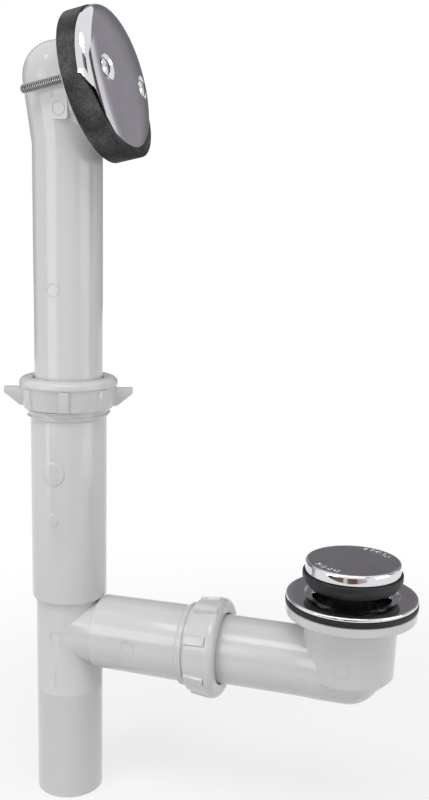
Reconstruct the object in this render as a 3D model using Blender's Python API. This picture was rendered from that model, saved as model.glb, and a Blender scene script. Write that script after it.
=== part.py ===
"""Bath waste and overflow set with two slip joints and a sprung stopper.

The origin is the centre of the bath outlet, at the underside of the drain
flange. +Z is up and the overflow stands at -X. All sizes are in metres.
"""
import math

import bmesh
import bpy
from mathutils import Matrix, Vector

# Layout
SEAT_TO_ARM = 0.0397
DRAIN_TO_OVERFLOW = 0.165
TAIL_LENGTH = 0.0992
MOUTH_RISE = 0.1408
MOUTH_REACH = 0.0878
HEAD_RISE = 0.3040
SLEEVE_END_RISE = 0.060
ARM_END_REACH = 0.050

# Tube and running fits
TUBE_R = 0.01905
TUBE_WALL = 0.0020
GAP = 0.0003
CUT = 0.002

# Slip sockets and their threads
SOCKET_WALL = 0.0020
SHOULDER_RISE = 0.0204
ARM_STEP_REACH = 0.0205
SHOULDER_CHAMFER = 0.0012
ARM_DRAFT = 0.0005
BRANCH_EASE = 0.0002
LEDGE_WALL = 0.0030
THREAD_STAND = 0.00185
THREAD_LENGTH = 0.0135
THREAD_CHAMFER = 0.0006
RUNOUT_OFFSET = 0.0020
RUNOUT_STAND = 0.0006
RUNOUT_WIDTH = 0.0009
SEAT_FLARE = 0.00195
SEAT_DEPTH = 0.0030

# Slip washers
WASHER_FLANGE = 0.0034
WASHER_NOSE = 0.0015
WASHER_NOSE_WALL = 0.0006
WASHER_RIM_GAP = 0.0006
WASHER_CHAMFER = 0.0007

# Slip nuts
NUT_WALL = 0.0020
NUT_SKIRT = 0.0093
NUT_CHAMFER = 0.0004
BEAD_R = 0.00375
BEAD_INSET = 0.0016
LIP_CLEARANCE = 0.0006
LIP_ROUND = 0.0015
RIB_STAND = 0.0011
RIB_BASE = 0.0060
RIB_TOP = 0.0046
RIB_SPREAD = math.radians(50)
WING_AZIMUTH = math.radians(20)
WING_THICKNESS = 0.0040
WING_TIP_R = 0.0360
WING_TIP_HEIGHT = 0.0031
WING_ROOT_STAND = 0.0017
WING_TOP_RISE = 0.0014
LUG_LEAN = math.radians(112)
LUG_STAND = 0.0038
LUG_END_GAP = 0.0020

# Bath shoe
SHOE_FLANGE_R = 0.0350
SHOE_FLANGE_HEIGHT = 0.0053
SHOE_FLANGE_ROUND = 0.0008
SHOE_GASKET_HEIGHT = 0.0032
SHOE_GASKET_R = 0.0354
CUP_R = 0.0252
CUP_DRAFT = 0.0010
CUP_WALL = 0.0024
CUP_EDGE_DROP = 0.0020
CUP_CONE_DROP = 0.0120
CUP_CONE_R = 0.0120
CUP_FLOOR_DROP = 0.0030
CUP_FLOOR_R = 0.0040
FLARE_LENGTH = 0.0180
FLARE_START = 0.0320
FLARE_STAND = 0.0024

# Drain flange, barrel and cross
FLANGE_R = 0.0351
FLANGE_EDGE = 0.0018
FLANGE_CROWN = 0.0006
FLANGE_ROUND = 0.0007
THROAT_TOP_R = 0.0254
LEDGE_R = 0.0246
LEDGE_RISE = 0.0009
LEDGE_FALL = 0.00015
LEDGE_WIDTH = 0.0032
BARREL_WALL = 0.0021
BARREL_DEPTH = 0.0205
THROAT_TAPER = 0.0020
CROSS_TOP = 0.0140
CROSS_HEIGHT = 0.0045
CROSS_WIDTH = 0.0032
CROSS_SINK = 0.0008
HUB_R = 0.0078

# Stopper
CAP_TOP = 0.0213
CAP_R = 0.0255
CAP_SIDE = 0.0063
CAP_ROUND = 0.0016
CAP_CROWN = 0.0006
CAP_WALL = 0.0012
CAP_BOSS_R = 0.0060
SEAL_R = 0.0267
SEAL_BAND = 0.0034
SEAL_WEB = 0.0036
SEAL_LIP_R = 0.0240
SEAL_LIP_DROP = 0.0041
SEAL_LIP_WALL = 0.0030
SEAL_WASHER_R = 0.0185
SEAL_WASHER_HEIGHT = 0.0015
STUD_R = 0.0030
STUD_LENGTH = 0.0095
SLEEVE_R = 0.0106
SLEEVE_WALL = 0.0024
SLEEVE_ROOF = 0.0024
SLEEVE_LENGTH = 0.0152
POST_HEIGHT = 0.0128
POST_WALL = 0.0023
POST_FLOOR = 0.0025
POST_THREAD_R = 0.0046
NUT_HEIGHT = 0.0030
NUT_ACROSS = 0.0068
PIN_R = 0.0010
PIN_RISE = 0.0021
TRACK_DEPTH = 0.0014
TRACK_RUN = 0.0082
SPRING_WIRE = 0.0005
SPRING_TURNS = 7
WIRE_SIDES = 6

# Overflow head
NECK_RISE = 0.2760
DOME_RISE = 0.3100
DOME_BACK = 0.0052
HEAD_STEP = 0.00195
FLANGE_LEAN = math.radians(15.5)
PLATE_LEAN = math.radians(12.0)
HEAD_FLANGE_R = 0.0362
HEAD_FLANGE = 0.0018
WINDOW_EASE = 0.0005
WINDOW_TOP = 0.0114
WINDOW_BOTTOM = 0.0060
WINDOW_REACH = 0.0180
GASKET_R = 0.0403
GASKET_FORWARD = 0.0092
GASKET_BULGE = 0.0083
BULGE_STEPS = 8
BULGE_POWER = 0.5
PLATE_R = 0.0397
PLATE_DEPTH = 0.0102
PLATE_SKIRT = 0.0022
PLATE_CROWN_POWER = 2.45
PLATE_EDGE_POWER = 0.38
DISH_STEPS = 7
PLATE_WALL = 0.0010
NOTCH_LIP = 0.0041
NOTCH_SLOPE = math.radians(1)
NOTCH_START = 0.0012
NOTCH_EDGE = 0.0003
NOTCH_RAMP = 0.0090
SCREW_SPREAD = 0.0238
SCREW_LIFT = 0.0010
SCREW_LINE = math.radians(5)
SCREW_R = 0.0024
SCREW_TAIL = 0.0395
SCREW_HEAD_R = 0.0044
SCREW_HEAD = 0.0020
SCREW_SLOT = 0.0011
SCREW_SLOT_DEPTH = 0.0011
DIMPLE_R = 0.0080
DIMPLE_FLOOR_R = 0.0050
DIMPLE_DEPTH = 0.0014

# Mesh fineness
TUBE_STEPS = 32
RIM_STEPS = 40
SMALL_STEPS = 20
ARC_STEPS = 5
SHARP = math.radians(32)

# Derived sizes
BORE_R = TUBE_R - TUBE_WALL
SOCKET_BORE = TUBE_R + GAP
SOCKET_R = SOCKET_BORE + SOCKET_WALL
THREAD_R = SOCKET_R + THREAD_STAND
SEAT_R = SOCKET_BORE + SEAT_FLARE
NUT_BORE = THREAD_R + GAP
NUT_R = NUT_BORE + NUT_WALL
LIP_UNDER = GAP + WASHER_FLANGE + GAP
ARM_Z = -SEAT_TO_ARM
TEE_X = -DRAIN_TO_OVERFLOW
SHOE_TOP = -SHOE_GASKET_HEIGHT - GAP
BARREL_R = CUP_R - CUP_WALL - GAP
BARREL_BORE = BARREL_R - BARREL_WALL
CAP_RIM = CAP_TOP - CAP_SIDE
SEAL_TOP = CAP_RIM - GAP
SEAL_UNDER = SEAL_TOP - SEAL_WEB
WASHER_TOP = SEAL_UNDER - GAP
SLEEVE_TOP = WASHER_TOP - SEAL_WASHER_HEIGHT - GAP
SLEEVE_BORE = SLEEVE_R - SLEEVE_WALL
SLEEVE_CEILING = SLEEVE_TOP - SLEEVE_ROOF
SLEEVE_END = SLEEVE_TOP - SLEEVE_LENGTH
POST_R = SLEEVE_BORE - GAP
POST_BORE = POST_R - POST_WALL
POST_BASE = GAP - CROSS_TOP
POST_TOP = POST_BASE + POST_HEIGHT
HUB_UNDER = -CROSS_TOP - CROSS_HEIGHT
DOME_TILT = math.atan2(DOME_BACK, DOME_RISE - NECK_RISE)
WINDOW_R = TUBE_R - WINDOW_EASE
HEAD_FORWARD = TUBE_R - DOME_BACK + HEAD_STEP


def material(name, colour, roughness, metallic=0.0):
    """Return a Principled material."""
    mat = bpy.data.materials.new(name)
    mat.use_nodes = True
    shader = mat.node_tree.nodes["Principled BSDF"]
    shader.inputs["Base Color"].default_value = (*colour, 1.0)
    shader.inputs["Roughness"].default_value = roughness
    shader.inputs["Metallic"].default_value = metallic
    mat.diffuse_color = (*colour, 1.0)
    return mat


def object_from(name, mesh_data, mat=None):
    """Link an object that holds the finished bmesh."""
    bmesh.ops.remove_doubles(mesh_data, verts=mesh_data.verts, dist=1e-7)
    bmesh.ops.recalc_face_normals(mesh_data, faces=mesh_data.faces)
    mesh = bpy.data.meshes.new(name)
    mesh_data.to_mesh(mesh)
    mesh_data.free()
    obj = bpy.data.objects.new(name, mesh)
    if mat is not None:
        mesh.materials.append(mat)
    bpy.context.collection.objects.link(obj)
    return obj


def arc(centre, radius, start, end, steps=ARC_STEPS):
    """Return profile points on an arc, angles from the +R axis."""
    points = []
    for index in range(steps + 1):
        angle = start + (end - start) * index / steps
        points.append((centre[0] + radius * math.cos(angle),
                       centre[1] + radius * math.sin(angle)))
    return points


def turned(name, profile, steps, mat=None):
    """Turn a profile of (radius, height) points about Z.

    A profile that starts and ends on the axis gives a solid, and any other
    one is closed into a ring.
    """
    data = bmesh.new()
    verts = [data.verts.new((r, 0.0, z)) for r, z in profile]
    edges = [data.edges.new(pair) for pair in zip(verts, verts[1:])]
    if profile[0][0] > 0.0:
        edges.append(data.edges.new((verts[-1], verts[0])))
    bmesh.ops.spin(data, geom=verts + edges, axis=(0.0, 0.0, 1.0),
                   angle=math.tau, steps=steps, use_duplicate=False)
    return object_from(name, data, mat)


def lofted(name, rings, mat=None):
    """Skin a row of point rings and close both ends."""
    data = bmesh.new()
    loops = [[data.verts.new(point) for point in ring] for ring in rings]
    count = len(loops[0])
    for lower, upper in zip(loops, loops[1:]):
        for index in range(count):
            following = (index + 1) % count
            data.faces.new((lower[index], lower[following],
                            upper[following], upper[index]))
    data.faces.new(reversed(loops[0]))
    data.faces.new(loops[-1])
    return object_from(name, data, mat)


def prism(name, outline, length, mat=None):
    """Extrude a flat XY outline from z = 0 to z = length."""
    low = [(x, y, 0.0) for x, y in outline]
    high = [(x, y, length) for x, y in outline]
    return lofted(name, [low, high], mat)


def place(obj, location, rotation=(0.0, 0.0, 0.0)):
    """Set an object's place and return it."""
    obj.location = location
    obj.rotation_euler = rotation
    return obj


def combine(target, operation, *tools, solver="EXACT"):
    """Join, cut or intersect target with each tool, and drop the tools."""
    for tool in tools:
        step = target.modifiers.new(tool.name, "BOOLEAN")
        step.operation = operation
        step.solver = solver
        step.object = tool
    bpy.context.view_layer.update()
    graph = bpy.context.evaluated_depsgraph_get()
    result = bpy.data.meshes.new_from_object(target.evaluated_get(graph))
    target.modifiers.clear()
    result.name = target.name
    target.data = result
    for tool in tools:
        bpy.data.objects.remove(tool)
    return target


def dress(obj, mat, parent=None):
    """Shade a finished piece and hang it under its parent."""
    mesh = obj.data
    mesh.materials.clear()
    mesh.materials.append(mat)
    mesh.shade_smooth()
    mesh.set_sharp_from_angle(angle=SHARP)
    if parent is not None:
        bpy.context.view_layer.update()
        world = obj.matrix_world.copy()
        obj.parent = parent
        obj.matrix_parent_inverse = parent.matrix_world.inverted()
        obj.matrix_world = world
    return obj


def pivot(name, location):
    """Return an empty on the axis of a moving body."""
    empty = bpy.data.objects.new(name, None)
    bpy.context.collection.objects.link(empty)
    empty.location = location
    bpy.context.view_layer.update()
    return empty


def along_x(x=0.0):
    """Return the place and turn that lay a turned piece along +X."""
    return (x, 0.0, ARM_Z), (0.0, math.pi / 2, 0.0)


def facing(lean):
    """Return the turn that points local Z along +X, leaned up."""
    return (0.0, math.pi / 2 - lean, 0.0)


def socket_outline(root_r, step, mouth):
    """Return the outer profile of a slip socket, from root to mouth."""
    thread = mouth - THREAD_LENGTH
    bead = thread - RUNOUT_OFFSET
    return [
        (root_r - SHOULDER_CHAMFER, step),
        (root_r, step + SHOULDER_CHAMFER),
        (SOCKET_R, bead - RUNOUT_WIDTH),
        (SOCKET_R + RUNOUT_STAND, bead),
        (SOCKET_R, bead + RUNOUT_WIDTH),
        (SOCKET_R, thread),
        (THREAD_R, thread + THREAD_CHAMFER),
        (THREAD_R, mouth - THREAD_CHAMFER),
        (THREAD_R - THREAD_CHAMFER, mouth),
        (0.0, mouth),
    ]


def socket_bore(start, step, mouth):
    """Return the bore profile of a slip socket with its washer seat."""
    ledge = step + LEDGE_WALL
    return [
        (0.0, start),
        (BORE_R, start),
        (BORE_R, ledge),
        (SOCKET_BORE, ledge + SHOULDER_CHAMFER),
        (SOCKET_BORE, mouth - SEAT_DEPTH),
        (SEAT_R, mouth),
        (SEAT_R, mouth + CUT),
        (0.0, mouth + CUT),
    ]


def tee_body(mat):
    """Model the upright socket, branch, arm socket and tail as one."""
    upright = turned("tee", [(0.0, -TAIL_LENGTH), (TUBE_R, -TAIL_LENGTH),
                             (TUBE_R, SHOULDER_RISE)]
                     + socket_outline(SOCKET_R, SHOULDER_RISE, MOUTH_RISE),
                     TUBE_STEPS)
    branch_r = TUBE_R - BRANCH_EASE
    arm_root = SOCKET_R - ARM_DRAFT
    branch = turned("branch", [(0.0, 0.0), (branch_r, 0.0),
                               (branch_r, ARM_STEP_REACH)]
                    + socket_outline(arm_root, ARM_STEP_REACH, MOUTH_REACH),
                    TUBE_STEPS)
    waterway = turned("waterway",
                      socket_bore(-TAIL_LENGTH - CUT, SHOULDER_RISE,
                                  MOUTH_RISE), TUBE_STEPS)
    arm_way = turned("arm_way", socket_bore(0.0, ARM_STEP_REACH, MOUTH_REACH),
                     TUBE_STEPS)
    for piece in (upright, waterway):
        place(piece, (TEE_X, 0.0, ARM_Z))
    for piece in (branch, arm_way):
        place(piece, *along_x(TEE_X))
    combine(upright, "UNION", branch)
    combine(upright, "DIFFERENCE", waterway, arm_way)
    return dress(upright, mat)


def rib(name, azimuth):
    """Return one grip rib of a slip nut, from skirt to bead."""
    inner = NUT_R - NUT_WALL / 2
    outer = NUT_R + RIB_STAND
    outline = [(inner, -RIB_BASE / 2), (outer, -RIB_TOP / 2),
               (outer, RIB_TOP / 2), (inner, RIB_BASE / 2)]
    piece = prism(name, outline, NUT_SKIRT)
    low = -NUT_SKIRT + NUT_CHAMFER
    return place(piece, (0.0, 0.0, low), (0.0, 0.0, azimuth))


def fin(name, outline, azimuth):
    """Return a flat fin from an outline of (radius, height) points."""
    half = WING_THICKNESS / 2
    near = [(r, -half, z) for r, z in outline]
    far = [(r, half, z) for r, z in outline]
    return place(lofted(name, [near, far]), (0.0, 0.0, 0.0),
                 (0.0, 0.0, azimuth))


def wing_outline():
    """Return the side view of a wing: flat top, short tip, sloped under."""
    inner = NUT_R - NUT_WALL / 2
    low = NUT_CHAMFER - NUT_SKIRT
    tip = WING_TOP_RISE - WING_TIP_HEIGHT
    return [(inner, low), (NUT_R + WING_ROOT_STAND, low), (WING_TIP_R, tip),
            (WING_TIP_R, WING_TOP_RISE), (inner, WING_TOP_RISE)]


def lug_outline():
    """Return the side view of a square lug along the nut."""
    inner = NUT_R - NUT_WALL / 2
    outer = NUT_R + LUG_STAND
    low = LUG_END_GAP - NUT_SKIRT
    high = LIP_UNDER + BEAD_R - LUG_END_GAP
    return [(inner, low), (outer, low), (outer, high), (inner, high)]


def slip_nut(name, outline, azimuth):
    """Model a slip nut, its origin at the socket's mouth."""
    bead_centre = (NUT_R - BEAD_INSET, LIP_UNDER)
    meet = math.acos(BEAD_INSET / BEAD_R)
    top = LIP_UNDER + BEAD_R
    lip_bore = TUBE_R + LIP_CLEARANCE
    profile = [(NUT_BORE, -NUT_SKIRT), (NUT_R - NUT_CHAMFER, -NUT_SKIRT),
               (NUT_R, NUT_CHAMFER - NUT_SKIRT)]
    profile += arc(bead_centre, BEAD_R, -meet, math.pi / 2)
    profile += arc((lip_bore + LIP_ROUND, top - LIP_ROUND), LIP_ROUND,
                   math.pi / 2, math.pi, 3)
    profile += [(lip_bore, LIP_UNDER), (NUT_BORE, LIP_UNDER)]
    nut = turned(name, profile, TUBE_STEPS)
    tools = []
    for side in (0.0, math.pi):
        tools.append(fin(f"fin_{side:.0f}", outline, azimuth + side))
        middle = azimuth + side + math.pi / 2
        for turn in (-RIB_SPREAD, 0.0, RIB_SPREAD):
            tools.append(rib(f"rib_{side:.0f}_{turn:.1f}", middle + turn))
    return combine(nut, "UNION", *tools)


def slip_washer(name):
    """Model the tapered washer, its origin at the socket's mouth."""
    seat_slope = SEAT_FLARE / SEAT_DEPTH
    nose_tip = SOCKET_BORE + WASHER_NOSE_WALL
    nose_root = nose_tip + WASHER_NOSE * seat_slope
    rim = NUT_BORE - WASHER_RIM_GAP
    top = GAP + WASHER_FLANGE
    return turned(name, [(SOCKET_BORE, -WASHER_NOSE),
                         (nose_tip, -WASHER_NOSE), (nose_root, GAP),
                         (rim, GAP), (rim, top - WASHER_CHAMFER),
                         (rim - WASHER_CHAMFER, top), (SOCKET_BORE, top)],
                  TUBE_STEPS)


def slip_joints(plastic, washer):
    """Model both slip joints' nuts and washers."""
    upright = (TEE_X, 0.0, ARM_Z + MOUTH_RISE)
    level, turn = along_x(TEE_X + MOUTH_REACH)
    pieces = [
        place(slip_nut("overflow_slip_nut", wing_outline(), WING_AZIMUTH),
              upright),
        place(slip_washer("overflow_slip_washer"), upright),
        place(slip_nut("arm_slip_nut", lug_outline(), LUG_LEAN - math.pi / 2),
              level, turn),
        place(slip_washer("arm_slip_washer"), level, turn),
    ]
    for piece in pieces:
        dress(piece, washer if "washer" in piece.name else plastic)


def oval_ring(x, half_width, half_height):
    """Return an oval ring around the arm's axis at x."""
    ring = []
    for index in range(TUBE_STEPS):
        angle = math.tau * index / TUBE_STEPS
        ring.append((x, half_width * math.cos(angle),
                     ARM_Z + half_height * math.sin(angle)))
    return ring


def flare_rings(inset):
    """Return rings of the tube that widens sideways into the cup."""
    rings = []
    start = TEE_X + ARM_END_REACH - (CUT if inset > 0.0 else 0.0)
    radius = TUBE_R - inset
    rings.append(oval_ring(start, radius, radius))
    for index in range(ARC_STEPS + 1):
        share = index / ARC_STEPS
        x = -FLARE_START + FLARE_LENGTH * share
        rings.append(oval_ring(x, radius + FLARE_STAND * share * share,
                               radius))
    return rings


def rounded_end(inset, stretch):
    """Return rings that close the tube with a round nose under the cup."""
    radius = TUBE_R - inset
    rings = []
    for index in range(1, ARC_STEPS + 1):
        angle = math.pi / 2 * index / (ARC_STEPS + 1)
        height = radius * math.cos(angle)
        width = height * stretch
        rings.append(oval_ring(radius * math.sin(angle), width, height))
    return rings


def cup_outside(top):
    """Return the cup's drafted outer profile, floor to flange."""
    edge = ARM_Z - CUP_EDGE_DROP
    cone = edge - CUP_CONE_DROP
    floor = cone - CUP_FLOOR_DROP
    return [(0.0, floor), (CUP_FLOOR_R, floor), (CUP_CONE_R, cone),
            (CUP_R - CUP_DRAFT, edge), (CUP_R, top)]


def cup_inside():
    """Return the chamber's profile with the barrel's bore above it."""
    edge = ARM_Z - CUP_EDGE_DROP
    cone = edge - CUP_CONE_DROP + CUP_WALL
    floor = cone - CUP_FLOOR_DROP
    chamber = CUP_R - CUP_DRAFT - CUP_WALL
    bore = BARREL_R + GAP
    ledge = -BARREL_DEPTH - GAP
    return [(0.0, floor), (CUP_FLOOR_R, floor),
            (CUP_CONE_R - CUP_WALL / 2, cone), (chamber, edge),
            (chamber, ledge - (bore - chamber)), (bore, ledge),
            (bore, SHOE_TOP + CUT), (0.0, SHOE_TOP + CUT)]


def bath_shoe(mat):
    """Model the shoe's flange, cup, flared tube and waterway as one."""
    floor = SHOE_TOP - SHOE_FLANGE_HEIGHT
    rim = SHOE_FLANGE_R
    cup = turned("bath_shoe", cup_outside(floor)
                 + [(rim - SHOE_FLANGE_ROUND, floor),
                    (rim, floor + SHOE_FLANGE_ROUND),
                    (rim, SHOE_TOP - SHOE_FLANGE_ROUND),
                    (rim - SHOE_FLANGE_ROUND, SHOE_TOP), (0.0, SHOE_TOP)],
                 RIM_STEPS)
    stretch = (TUBE_R + FLARE_STAND) / TUBE_R
    tube = lofted("shoe_tube", flare_rings(0.0) + rounded_end(0.0, stretch))
    inner_stretch = (BORE_R + FLARE_STAND) / BORE_R
    tube_way = lofted("tube_way", flare_rings(TUBE_WALL)
                      + rounded_end(TUBE_WALL, inner_stretch))
    cup_way = turned("cup_way", cup_inside(), RIM_STEPS)
    combine(cup, "UNION", tube)
    combine(cup, "DIFFERENCE", tube_way, cup_way)
    return dress(cup, mat)


def shoe_gasket(mat):
    """Model the rubber ring between the shoe and the bath or flange."""
    bore = BARREL_R + GAP
    top = -GAP
    low = SHOE_TOP + GAP
    ring = turned("shoe_gasket", [(bore, low), (SHOE_GASKET_R, low),
                                  (SHOE_GASKET_R, top), (bore, top)],
                  RIM_STEPS)
    return dress(ring, mat)


def drain_flange(mat):
    """Model the flange, seal ledge, threaded barrel and cross as one."""
    crown = FLANGE_EDGE + FLANGE_CROWN
    ledge_low = LEDGE_RISE - LEDGE_FALL
    body = turned("drain_flange", [
        (BARREL_R, 0.0),
        (FLANGE_R, 0.0),
        (FLANGE_R, FLANGE_EDGE - FLANGE_ROUND),
        (FLANGE_R - FLANGE_ROUND, FLANGE_EDGE),
        (THROAT_TOP_R, crown),
        (LEDGE_R, LEDGE_RISE),
        (LEDGE_R - LEDGE_WIDTH, ledge_low),
        (BARREL_BORE, ledge_low - THROAT_TAPER),
        (BARREL_BORE, -BARREL_DEPTH),
        (BARREL_R, -BARREL_DEPTH)], RIM_STEPS)
    half = CROSS_WIDTH / 2
    reach = BARREL_BORE + CROSS_SINK
    bar = [(-reach, -half), (reach, -half), (reach, half), (-reach, half)]
    hub = turned("hub", [(0.0, 0.0), (HUB_R, 0.0), (HUB_R, CROSS_HEIGHT),
                         (0.0, CROSS_HEIGHT)], SMALL_STEPS)
    tools = [place(hub, (0.0, 0.0, HUB_UNDER))]
    for index in range(2):
        arm = prism(f"arm_{index}", bar, CROSS_HEIGHT)
        tools.append(place(arm, (0.0, 0.0, HUB_UNDER),
                           (0.0, 0.0, math.pi / 4 + index * math.pi / 2)))
    combine(body, "UNION", *tools)
    bore_r = POST_THREAD_R + GAP
    bore = turned("bore", [(0.0, -CUT), (bore_r, -CUT),
                           (bore_r, CROSS_HEIGHT + CUT),
                           (0.0, CROSS_HEIGHT + CUT)], SMALL_STEPS)
    combine(body, "DIFFERENCE", place(bore, (0.0, 0.0, HUB_UNDER)))
    return dress(body, mat)


def stopper_cap(mat, parent):
    """Model the hollow cap with its threaded boss."""
    inner = CAP_R - CAP_WALL
    ceiling = CAP_TOP - CAP_WALL - CAP_CROWN
    socket_r = STUD_R + GAP
    socket_top = SLEEVE_TOP + STUD_LENGTH + GAP
    shoulder = CAP_TOP - CAP_CROWN - CAP_ROUND
    profile = [(0.0, socket_top), (socket_r, socket_top),
               (socket_r, CAP_RIM), (CAP_BOSS_R, CAP_RIM),
               (CAP_BOSS_R, ceiling), (inner - CAP_ROUND / 2, ceiling),
               (inner, ceiling - CAP_ROUND / 2), (inner, CAP_RIM),
               (CAP_R, CAP_RIM)]
    profile += arc((CAP_R - CAP_ROUND, shoulder), CAP_ROUND, 0.0,
                   math.pi / 2, 4)
    profile += [(0.0, CAP_TOP)]
    return dress(turned("stopper_cap", profile, RIM_STEPS), mat, parent)


def stopper_seal(mat, parent):
    """Model the seal: a band, a web and a tapered lip."""
    band_low = SEAL_TOP - SEAL_BAND
    lip_low = band_low - SEAL_LIP_DROP
    hole = STUD_R + GAP
    ring = turned("stopper_seal", [
        (hole, SEAL_UNDER), (hole, SEAL_TOP), (SEAL_R, SEAL_TOP),
        (SEAL_R, band_low), (SEAL_LIP_R, lip_low),
        (SEAL_LIP_R - SEAL_LIP_WALL / 2, lip_low),
        (SEAL_LIP_R - SEAL_LIP_WALL, SEAL_UNDER)], RIM_STEPS)
    return dress(ring, mat, parent)


def seal_washer(mat, parent):
    """Model the disc that holds the seal to the cap."""
    hole = STUD_R + GAP
    low = WASHER_TOP - SEAL_WASHER_HEIGHT
    disc = turned("seal_washer", [(hole, low), (SEAL_WASHER_R, low),
                                  (SEAL_WASHER_R, WASHER_TOP),
                                  (hole, WASHER_TOP)], TUBE_STEPS)
    return dress(disc, mat, parent)


def pin_height():
    """Return the latch pin's height with the stopper raised."""
    return SLEEVE_END + PIN_RISE


def stopper_sleeve(mat, parent):
    """Model the barrel that slides on the post, with its top stud."""
    stud_top = SLEEVE_TOP + STUD_LENGTH
    sleeve = turned("stopper_sleeve", [
        (0.0, SLEEVE_CEILING), (SLEEVE_BORE, SLEEVE_CEILING),
        (SLEEVE_BORE, SLEEVE_END), (SLEEVE_R, SLEEVE_END),
        (SLEEVE_R, SLEEVE_TOP), (STUD_R, SLEEVE_TOP), (STUD_R, stud_top),
        (0.0, stud_top)], SMALL_STEPS)
    hole_r = PIN_R + GAP
    hole = turned("pin_hole", [(0.0, 0.0), (hole_r, 0.0),
                               (hole_r, SLEEVE_R + CUT),
                               (0.0, SLEEVE_R + CUT)], SMALL_STEPS // 2)
    place(hole, (0.0, 0.0, pin_height()), (math.pi / 2, 0.0, 0.0))
    combine(sleeve, "DIFFERENCE", hole)
    return dress(sleeve, mat, parent)


def latch_pin(mat, parent):
    """Model the pin whose tip runs in the post's track."""
    tip = POST_R - TRACK_DEPTH + GAP
    tail = SLEEVE_R - GAP
    pin = turned("latch_pin", [(0.0, tip), (PIN_R, tip), (PIN_R, tail),
                               (0.0, tail)], SMALL_STEPS // 2)
    place(pin, (0.0, 0.0, pin_height()), (math.pi / 2, 0.0, 0.0))
    return dress(pin, mat, parent)


def stopper_post(mat):
    """Model the post: threaded foot, hollow column and pin track."""
    foot = HUB_UNDER - GAP - NUT_HEIGHT - GAP
    floor = POST_BASE + POST_FLOOR
    post = turned("stopper_post", [
        (0.0, foot), (POST_THREAD_R, foot), (POST_THREAD_R, POST_BASE),
        (POST_R, POST_BASE), (POST_R, POST_TOP), (POST_BORE, POST_TOP),
        (POST_BORE, floor), (0.0, floor)], SMALL_STEPS)
    half = PIN_R + GAP
    top = pin_height() + half
    low = top - TRACK_RUN - half
    outline = [(-half, low), (half, low), (half, top), (-half, top)]
    near = [(x, -POST_R - CUT, z) for x, z in outline]
    far = [(x, TRACK_DEPTH - POST_R, z) for x, z in outline]
    combine(post, "DIFFERENCE", lofted("track", [near, far]))
    return dress(post, mat)


def post_nut(mat):
    """Model the hexagonal lock nut under the cross."""
    corner = NUT_ACROSS / math.cos(math.pi / 6)
    outline = [(corner * math.cos(math.pi / 3 * index),
                corner * math.sin(math.pi / 3 * index))
               for index in range(6)]
    nut = prism("post_nut", outline, NUT_HEIGHT)
    bore_r = POST_THREAD_R + GAP
    bore = turned("nut_bore", [(0.0, -CUT), (bore_r, -CUT),
                               (bore_r, NUT_HEIGHT + CUT),
                               (0.0, NUT_HEIGHT + CUT)], SMALL_STEPS)
    combine(nut, "DIFFERENCE", bore)
    place(nut, (0.0, 0.0, HUB_UNDER - GAP - NUT_HEIGHT))
    return dress(nut, mat)


def stopper_spring(mat):
    """Model the coil spring between the post's floor and the sleeve."""
    radius = POST_BORE - SPRING_WIRE - GAP
    low = POST_BASE + POST_FLOOR + SPRING_WIRE + GAP
    high = SLEEVE_CEILING - SPRING_WIRE - GAP
    per_turn = SMALL_STEPS // 2
    total = SPRING_TURNS * per_turn
    rings = []
    for index in range(total + 1):
        angle = math.tau * index / per_turn
        height = low + (high - low) * index / total
        outward = Vector((math.cos(angle), math.sin(angle), 0.0))
        centre = outward * radius + Vector((0.0, 0.0, height))
        ring = []
        for side in range(WIRE_SIDES):
            turn = math.tau * side / WIRE_SIDES
            ring.append(centre + outward * (SPRING_WIRE * math.cos(turn))
                        + Vector((0.0, 0.0, SPRING_WIRE * math.sin(turn))))
        rings.append(ring)
    return dress(lofted("stopper_spring", rings), mat)


def neck_rings(inset, start):
    """Return rings of the slip tube, bent neck and domed top."""
    radius = TUBE_R - inset
    tilt = Matrix.Rotation(-DOME_TILT, 3, "Y")
    half = Matrix.Rotation(-DOME_TILT / 2, 3, "Y")
    circle = []
    for index in range(TUBE_STEPS):
        angle = math.tau * index / TUBE_STEPS
        circle.append(Vector((math.cos(angle), math.sin(angle), 0.0)))
    dome = Vector((-DOME_BACK, 0.0, DOME_RISE))
    neck = Vector((0.0, 0.0, NECK_RISE))
    rings = [[point * radius + Vector((0.0, 0.0, start))
              for point in circle]]
    rings.append([half @ (point * radius) + neck for point in circle])
    for index in range(ARC_STEPS + 2):
        angle = math.pi / 2 * index / (ARC_STEPS + 2)
        lift = Vector((0.0, 0.0, radius * math.sin(angle)))
        rings.append([tilt @ (point * radius * math.cos(angle) + lift) + dome
                      for point in circle])
    return rings


def slot_outline(radius, top, bottom):
    """Return an upright slot outline; -X is up in the leaned frame."""
    points = []
    steps = TUBE_STEPS // 2
    for index in range(steps + 1):
        angle = math.pi / 2 + math.pi * index / steps
        points.append((-top + radius * math.cos(angle),
                       radius * math.sin(angle)))
    for index in range(steps + 1):
        angle = -math.pi / 2 + math.pi * index / steps
        points.append((bottom + radius * math.cos(angle),
                       radius * math.sin(angle)))
    return points


def head_centre():
    """Return the centre of the elbow flange's front face."""
    return Vector((TEE_X + HEAD_FORWARD, 0.0, ARM_Z + HEAD_RISE))


def lean_axis(lean):
    """Return the direction that a leaned face looks along."""
    return Vector((math.cos(lean), 0.0, math.sin(lean)))


def plate_centre():
    """Return the centre of the plate's rear plane."""
    return head_centre() + lean_axis(PLATE_LEAN) * GASKET_FORWARD


def screw_places():
    """Return the two screw points on the plate's rear plane."""
    across = Vector((0.0, math.cos(SCREW_LINE), 0.0))
    up = lean_axis(PLATE_LEAN + math.pi / 2)
    points = []
    for side in (-1.0, 1.0):
        drop = up * (-side * math.sin(SCREW_LINE) * SCREW_SPREAD)
        points.append(plate_centre() + up * SCREW_LIFT + drop
                      + across * (side * SCREW_SPREAD))
    return points


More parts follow.
